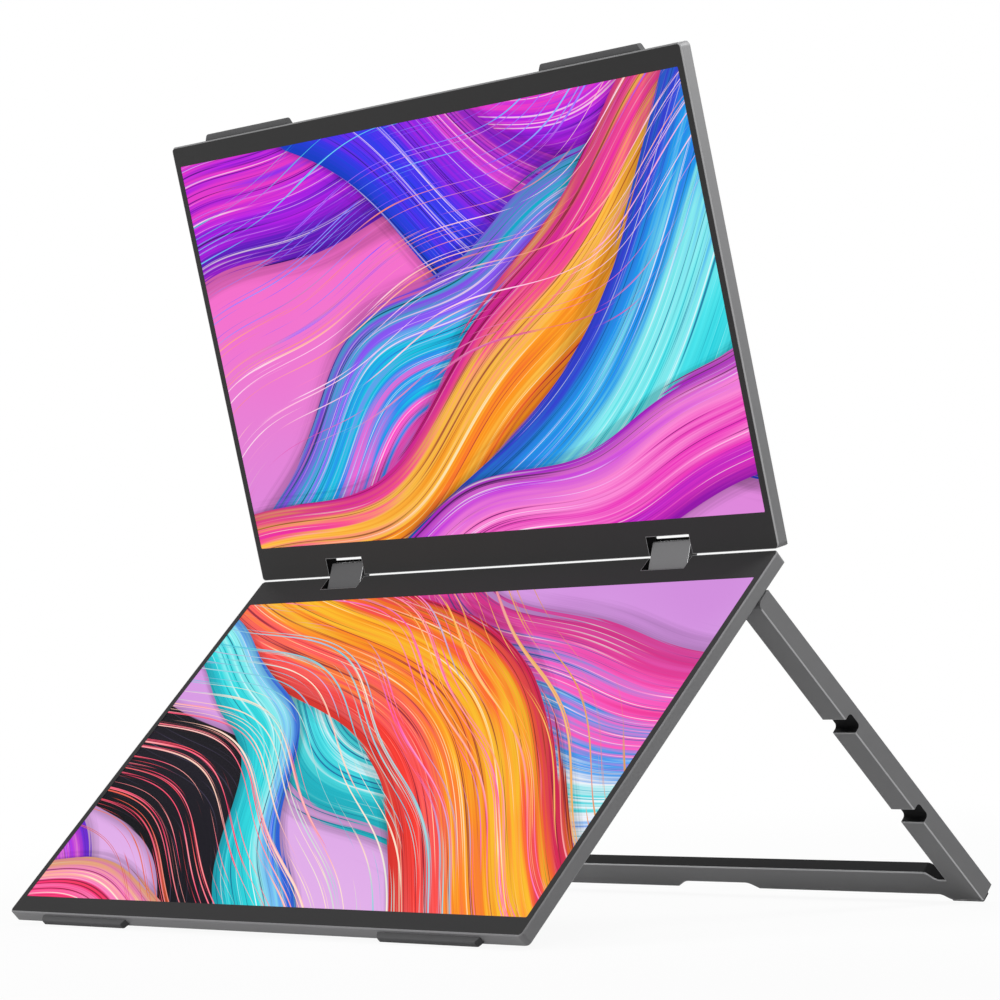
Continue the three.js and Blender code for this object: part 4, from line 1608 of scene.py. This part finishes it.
    def _pad(self, side: Side) -> None:
        """The thin rubber pad under a foot.

        Args:
            side: which foot.
        """
        inner, outer = self.leg_inner - self.jog_from_leg, self.half - self.pad_inset
        made = Piece.rounded(
            (side.value * inner, side.value * outer),
            (self.foot - self.pad_thickness, self.foot),
            (self.leg_front - self.pad_width, self.leg_front - self.pad_inset),
            Axis.Y, self.pad_corner, 5,
        )
        made.soften(self.pad_edge).smooth()
        made.paint(PAD_RUBBER)
        where = side.name.lower()
        nodes = [f"stand_foot_pad_{where}"]
        made.install(f"stand_foot_sole_{where}", self.place, "stand", "strip_rubber", nodes)


@dataclass(frozen=True)
class Port:
    """A flat socket in a side wall: its node, place, size, the hole's radius and its contacts."""

    node: str
    side: Side
    up: float
    size: Span
    hole_round: float
    contacts: int


@dataclass(frozen=True)
class SlotRow:
    """A row of slots in the rear wall, where it lies and how its slots follow each other."""

    up: float
    count: int
    pitch: float
    width: float
    length: float


@dataclass
class RearHousing:
    """The raised cover on the lower screen's back, with its screws, sockets and menu rocker."""

    place: Matrix
    body: str = "lower_screen"
    half: float = 161.9
    top: float = -12.0
    bottom: float = -195.6
    rim: float = -6.65
    back: float = -16.1
    wall: float = 1.4
    corner: float = 4.0
    edge: float = 1.0
    fine_edge: float = 0.14
    boss: float = 6.4
    screw_across: float = 140.0
    screw_up: tuple[float, float] = (-20.0, -187.6)
    screw_head: float = 4.0
    screw_shank: float = 2.0
    screw_play: float = 0.6
    screw_end: float = -6.15
    screw_edge: float = 0.05
    counterbore: float = 1.6
    head_height: float = 1.0
    head_recess: float = 0.3
    head_round: float = 0.35
    cross: Span = (2.2, 0.55)
    cross_depth: float = 0.65
    vent: SlotRow = SlotRow(up=-60.0, count=15, pitch=6.0, width=1.6, length=16.0)
    grille: SlotRow = SlotRow(up=-180.6, count=9, pitch=4.0, width=1.4, length=9.0)
    grille_across: float = 104.0
    pivot: Span = (-22.9, -9.9)
    pin_hole: float = 3.8
    hole_play: float = 0.5
    ports: tuple[Port, ...] = (
        Port("usb_c_socket_a", Side.LEFT, -97.1, (9.0, 3.2), 1.6, 12),
        Port("usb_c_socket_b", Side.LEFT, -156.6, (9.0, 3.2), 1.6, 12),
        Port("mini_hdmi_socket", Side.RIGHT, -97.1, (11.2, 3.2), 1.2, 19),
    )
    port_z: float = -9.8
    port_depth: float = 7.4
    port_shell: float = 0.3
    port_round: float = 1.3
    port_hollow_round: float = 1.1
    port_edge: float = 0.08
    mouth: float = 0.15
    floor: float = 0.8
    tongue_behind: float = 0.8
    tongue_margin: float = 2.4
    tongue_height: float = 0.7
    tongue_edge: float = 0.1
    contact_run: Span = (1.2, 4.2)
    contact_margin: float = 3.4
    contact_share: float = 0.55
    contact_thickness: float = 0.06
    contact_out: float = 0.36
    jack_at: Span = (-156.6, -10.7)
    jack: float = 5.0
    jack_bore: float = 3.5
    jack_depth: float = 12.0
    jack_edge: float = 0.15
    ring_wall: Span = (0.7, 0.1)
    ring_run: Span = (-0.1, 2.0)
    rocker_at: Span = (-60.0, -10.4)
    rocker: Span = (12.0, 3.0)
    rocker_edge: float = 0.1
    flange: float = 1.4
    flange_behind_wall: Span = (1.6, 0.8)
    rib_places: tuple[float, ...] = (2.6, 3.3, 4.0)
    rib_groove: Span = (0.3, 1.7)
    rib_depth: float = 0.2

    def build(self) -> None:
        """Builds and dresses the cover and all that sits in it."""
        self._cover()
        self._screws()
        for port in self.ports:
            self._flat_socket(port)
        self._jack()
        self._menu_rocker()

    def _across(self, side: Side, first: float, second: float) -> Span:
        """Two places along x, each so far inside a side wall's outer face."""
        return side.value * (self.half - first), side.value * (self.half - second)

    def _slots(self, centre: float, row: SlotRow) -> Piece:
        """A row of round-ended slots through the rear wall.

        Args:
            centre: the row's middle along x.
            row: the row.

        Returns:
            The slots as one tool.
        """
        first = centre - (row.count - 1) / 2 * row.pitch
        through = (self.back - OVERRUN, self.back + self.wall + OVERRUN)
        x, y = about(first, row.width), about(row.up, row.length)
        slot = Piece.rounded(x, y, through, Axis.Z, row.width / 2 - FLAT, 6)
        return slot.gathered([slot.copied((row.pitch * i, 0, 0)) for i in range(1, row.count)])

    def _cover(self) -> None:
        """The plastic shell with its vents, grilles, screw bosses and the holes in its walls."""
        x, y = (-self.half, self.half), (self.bottom, self.top)
        made = Piece.rounded(x, y, (self.back, self.rim), Axis.Z, self.corner, 10)
        made.bevel(lambda p: p.z < self.back + NEAR, self.edge, 4)
        x, y = (about(sum(s) / 2, s[1] - s[0] - self.wall * 2) for s in (x, y))
        depth = (self.back + self.wall, self.rim + OVERRUN)
        made.cut(Piece.rounded(x, y, depth, Axis.Z, self.corner - self.wall))
        made.cut(self._slots(0, self.vent))
        for side in Side:
            self._pierce(made, side)
        outside = self.back - OVERRUN
        shank, head = (width + self.screw_play for width in (self.screw_shank, self.screw_head))
        for at in self._screw_places():
            made.add(Piece.rod(self.boss, (self.back + self.wall / 2, self.rim), at, Axis.Z))
            made.cut(Piece.rod(shank, (outside, self.rim + OVERRUN), at, Axis.Z))
            made.cut(Piece.rod(head, (outside, self.back + self.counterbore), at, Axis.Z))
        made.tidied().soften(self.fine_edge).smooth()
        made.paint(COVER)
        nodes = ["lower_rear_cover"]
        made.install("rear_cover_shell", self.place, self.body, "cover_plastic", nodes)

    def _pierce(self, cover: Piece, side: Side) -> None:
        """Cuts one side's speaker grille and the holes in its side wall.

        Args:
            cover: the shell.
            side: which side.
        """
        cover.cut(self._slots(side.value * self.grille_across, self.grille))
        through = self._across(side, self.wall + OVERRUN, -OVERRUN)
        cover.cut(Piece.rod(self.pin_hole, through, self.pivot))
        for port in self.ports:
            if port.side is side:
                hole = grown(port.size, self.hole_play)
                cover.cut(Piece.bar(through, (port.up, self.port_z), hole, port.hole_round))
        if side is Side.LEFT:
            cover.cut(Piece.bar(through, self.rocker_at, grown(self.rocker, self.hole_play)))
        else:
            cover.cut(Piece.rod(self.jack + self.hole_play, through, self.jack_at))

    def _screw_places(self) -> list[Span]:
        """The screws' places in x and y."""
        return [(x, y) for y in self.screw_up for x in (-self.screw_across, 0, self.screw_across)]

    def _screws(self) -> None:
        """One cross-recessed screw, and its copies."""
        back = self.back + self.head_recess
        head = Piece.rod(self.screw_head, (back, back + self.head_height), (0, 0), Axis.Z)
        head.bevel(lambda p: p.z < back + NEAR, self.head_round, 4)
        run = (back + self.head_height / 2, self.screw_end)
        head.add(Piece.rod(self.screw_shank, run, (0, 0), Axis.Z, 24))
        for length, height in (self.cross, self.cross[::-1]):
            depth = (back - OVERRUN, back + self.cross_depth)
            slot = Piece.block(about(0, length), about(0, height), depth)
            head.cut(slot.stretch(lambda p: p.z > back, (0.5, 0.5, 1), (0, 0, back)))
        head.tidied().soften(self.screw_edge).smooth()
        head.paint(SCREW_STEEL)
        for number, place in enumerate(self._screw_places(), 1):
            name = f"rear_cover_screw_{number}"
            screw = head.copied((*place, 0))
            screw.install(f"{name}_cross", self.place, self.body, "steel", [name])
        head.discard()

    def _flat_socket(self, port: Port) -> None:
        """A plated socket with its tongue and contacts.

        Args:
            port: the socket.
        """
        at, mouth, end = (port.up, self.port_z), self.mouth, self.port_depth
        shell = Piece.bar(self._across(port.side, mouth, end), at, port.size, self.port_round)
        run = self._across(port.side, mouth - OVERRUN, end - self.floor)
        hollow = grown(port.size, -self.port_shell * 2)
        shell.cut(Piece.bar(run, at, hollow, self.port_hollow_round)).soften(self.port_edge)
        shell.paint(SOCKET_PLATE)
        run = self._across(port.side, mouth + self.tongue_behind, end)
        width = about(port.up, port.size[0] - self.tongue_margin)
        tongue = Piece.block(run, width, about(self.port_z, self.tongue_height))
        tongue.soften(self.tongue_edge).paint(TONGUE)
        shell.smooth().gathered([tongue, *self._contacts(port)])
        shell.install(f"{port.node}_shell", self.place, self.body, "socket_steel", [port.node])

    def _contacts(self, port: Port) -> list[Piece]:
        """The contacts on both faces of a socket's tongue.

        Args:
            port: the socket.

        Returns:
            The contacts, one piece each.
        """
        run = self._across(port.side, *(self.mouth + depth for depth in self.contact_run))
        pitch = (port.size[0] - self.contact_margin) / (port.contacts - 1)
        first = port.up - pitch * (port.contacts - 1) / 2
        leads = []
        for face in (-1, 1):
            z = about(self.port_z + face * self.contact_out, self.contact_thickness)
            lead = Piece.block(run, about(first, pitch * self.contact_share), z)
            lead.paint(CONTACT_GOLD)
            leads += [lead.copied((0, pitch * i, 0)) for i in range(port.contacts)]
            lead.discard()
        return leads

    def _jack(self) -> None:
        """The headphone socket: a moulded barrel with a plated ring in its mouth."""
        at, mouth, end = self.jack_at, self.mouth, self.jack_depth
        outside = mouth - OVERRUN
        barrel = Piece.rod(self.jack, self._across(Side.RIGHT, mouth, end), at)
        run = self._across(Side.RIGHT, outside, end - self.floor)
        barrel.cut(Piece.rod(self.jack_bore, run, at)).soften(self.jack_edge, 3)
        run = self._across(Side.RIGHT, *(mouth + depth for depth in self.ring_run))
        ring = Piece.rod(self.jack_bore + self.ring_wall[0], run, at)
        run = self._across(Side.RIGHT, outside, mouth + self.ring_run[1] + OVERRUN)
        ring.cut(Piece.rod(self.jack_bore - self.ring_wall[1], run, at)).soften(self.port_edge)
        barrel.paint(BUTTON)
        ring.paint(CONTACT_GOLD)
        barrel.smooth().gathered([ring])
        nodes = ["headphone_socket"]
        barrel.install("headphone_socket_barrel", self.place, self.body, "button_plastic", nodes)

    def _menu_rocker(self) -> None:
        """The menu rocker in the left wall, with fine ribs at each end and a flange inside."""
        inner, outer = (self.wall + depth for depth in self.flange_behind_wall)
        made = Piece.bar(self._across(Side.LEFT, inner, 0), self.rocker_at, self.rocker)
        run = self._across(Side.LEFT, inner, outer)
        made.add(Piece.bar(run, self.rocker_at, grown(self.rocker, self.flange)))
        up, z = self.rocker_at
        width, height = self.rib_groove
        run = self._across(Side.LEFT, self.rib_depth, -OVERRUN)
        for end in (-1, 1):
            for place in self.rib_places:
                made.cut(Piece.block(run, about(up + end * place, width), about(z, height)))
        made.tidied().soften(self.rocker_edge).smooth()
        made.paint(BUTTON)
        nodes = ["menu_rocker"]
        made.install("menu_rocker_cap", self.place, "menu_key", "button_plastic", nodes)


@dataclass
class Inside:
    """The frame's own solids that stay: boards, shafts, brackets, light guides and speakers."""

    frames: Frames
    rear_chips: float = 7.95
    screen_chips: float = -4.35

    def dress(self) -> None:
        """Gives every node that stays its finish, by its name or by a word in it."""
        rear_board = Board("rear_board_mask", self.frames.housing(), self.rear_chips, True)
        named: dict[str, Finish] = {"main_board": rear_board, "port_board": rear_board}
        for level in Level:
            place, name = self.frames.screen(level), level.value
            named[f"{name}_backlight"] = LightGuide(f"{name}_light_guide", place)
            board = Board(f"{name}_board_mask", place, self.screen_chips)
            named[f"{name}_panel_board"] = named[f"{name}_button_board"] = board
        worded = {**dict.fromkeys(("bracket", "shaft", "pin"), TURNED_STEEL), "speaker": CONE}
        for name, node in frame["nodes"].items():
            finish = named.get(name) or next((worded[w] for w in worded if w in name), None)
            if finish is None:
                continue
            node.data.materials.clear()
            node.data.materials.append(finish.material())
            log.info("%s keeps its solid, in %s", name, finish.name)


# Studio


@dataclass
class Studio:
    """Pale floor, soft lamps and the camera at the photograph's angle."""

    camera_at: tuple[float, float, float] = (1.23026, -1.11858, 0.11267)
    camera_turn: tuple[float, float, float] = (92.6538, 1.8396, 47.4513)
    lens: float = 129.63
    sensor: float = 36.0
    seen_from: Span = (0.05, 60.0)
    floor_size: float = 14.0
    floor_drop: float = 0.0002
    floor_grey: float = 0.7
    floor_fade: Span = (0.35, 1.2)
    floor_white: Span = (0.93, 1.0)
    ambient: float = 0.3
    aim: tuple[float, float, float] = (0.0, 0.0, 0.19)

    def build(self) -> None:
        """Builds the camera, the floor, the surround and the lamps."""
        self._camera()
        self._floor()
        self._surround()
        self._lamp("right_lamp", (0.37, 0.12, 0.59), 0.22, 2.2)
        self._lamp("front_lamp", (-0.9, -1.7, 1.0), 1.1, 30.0)
        self._lamp("left_lamp", (-1.1, 0.6, 1.0), 0.9, 12.0)
        bpy.context.scene.view_settings.view_transform = "Standard"

    def _camera(self) -> None:
        """The camera, fitted to the photograph."""
        data = bpy.data.cameras.new("camera")
        data.lens, data.sensor_width = self.lens, self.sensor
        data.clip_start, data.clip_end = self.seen_from
        camera = bpy.data.objects.new("camera", data)
        camera.location = self.camera_at
        camera.rotation_euler = [math.radians(a) for a in self.camera_turn]
        bpy.context.scene.collection.objects.link(camera)
        bpy.context.scene.camera = camera

    def _floor(self) -> None:
        """A pale floor that keeps the object's shadow."""
        deselect()
        bpy.ops.mesh.primitive_plane_add(size=self.floor_size, location=(0, 0, -self.floor_drop))
        floor = bpy.context.object
        floor.name = "floor"
        material = bpy.data.materials.new("pale_floor")
        material.use_nodes = True
        graph = Graph(material.node_tree)
        length = {"operation": "LENGTH"}
        away = graph.node("ShaderNodeVectorMath", length, {0: graph.place()}, "Value")
        share = self._seen_rays(graph) * away.ramp(*self.floor_fade, *self.floor_white)
        grey = {"Color": (*[self.floor_grey] * 3, 1)}
        plain = graph.node("ShaderNodeBsdfDiffuse", values=grey)
        white = graph.node("ShaderNodeEmission", values={"Color": (1, 1, 1, 1), "Strength": 1.0})
        both = graph.node("ShaderNodeMixShader", values={0: share, 1: plain, 2: white})
        graph.node("ShaderNodeOutputMaterial", values={"Surface": both})
        floor.data.materials.append(material)

    def _surround(self) -> None:
        """An even surround, white where it is seen or mirrored."""
        world = bpy.data.worlds.new("surround")
        bpy.context.scene.world = world
        world.use_nodes = True
        graph = Graph(world.node_tree)
        strength = self._seen_rays(graph) * (1.0 - self.ambient) + self.ambient
        values = {"Color": (1, 1, 1, 1), "Strength": strength}
        light = graph.node("ShaderNodeBackground", values=values)
        graph.node("ShaderNodeOutputWorld", values={"Surface": light})

    @staticmethod
    def _seen_rays(graph: Graph) -> Signal:
        """1 for what the camera sees, straight, mirrored or through glass, otherwise 0.

        Args:
            graph: the tree that asks.

        Returns:
            The value.
        """
        first = graph.node("ShaderNodeLightPath", out="Is Camera Ray")
        outputs = first.socket.node.outputs
        others = [Signal(graph, outputs[n]) for n in ("Is Glossy Ray", "Is Transmission Ray")]
        return first.largest(others[0]).largest(others[1])

    def _lamp(self, name: str, at: Sequence[float], size: float, power: float) -> None:
        """A square soft lamp, aimed at the object.

        Args:
            name: the lamp's name.
            at: its place.
            size: its side.
            power: its power in watts.
        """
        data = bpy.data.lights.new(name, "AREA")
        data.size, data.energy = size, power
        lamp = bpy.data.objects.new(name, data)
        lamp.location = at
        lamp.rotation_euler = (Vector(self.aim) - Vector(at)).to_track_quat("-Z", "Y").to_euler()
        bpy.context.scene.collection.objects.link(lamp)


def main() -> None:
    """Builds the display in order: screens, links, stand, rear housing, insides and studio."""
    logging.basicConfig(level=logging.INFO, format="%(message)s")
    frames = Frames()
    Screen(Level.LOWER, frames.screen(Level.LOWER), LOWER_PICTURE, cut_depth=7.4).build()
    Screen(Level.UPPER, frames.screen(Level.UPPER), UPPER_PICTURE, cut_depth=8.4).build()
    HingeLinks(frames.links()).build()
    Stand(frames.stand()).build()
    RearHousing(frames.housing()).build()
    Inside(frames).dress()
    Studio().build()


if __name__ == "__main__":
    main()
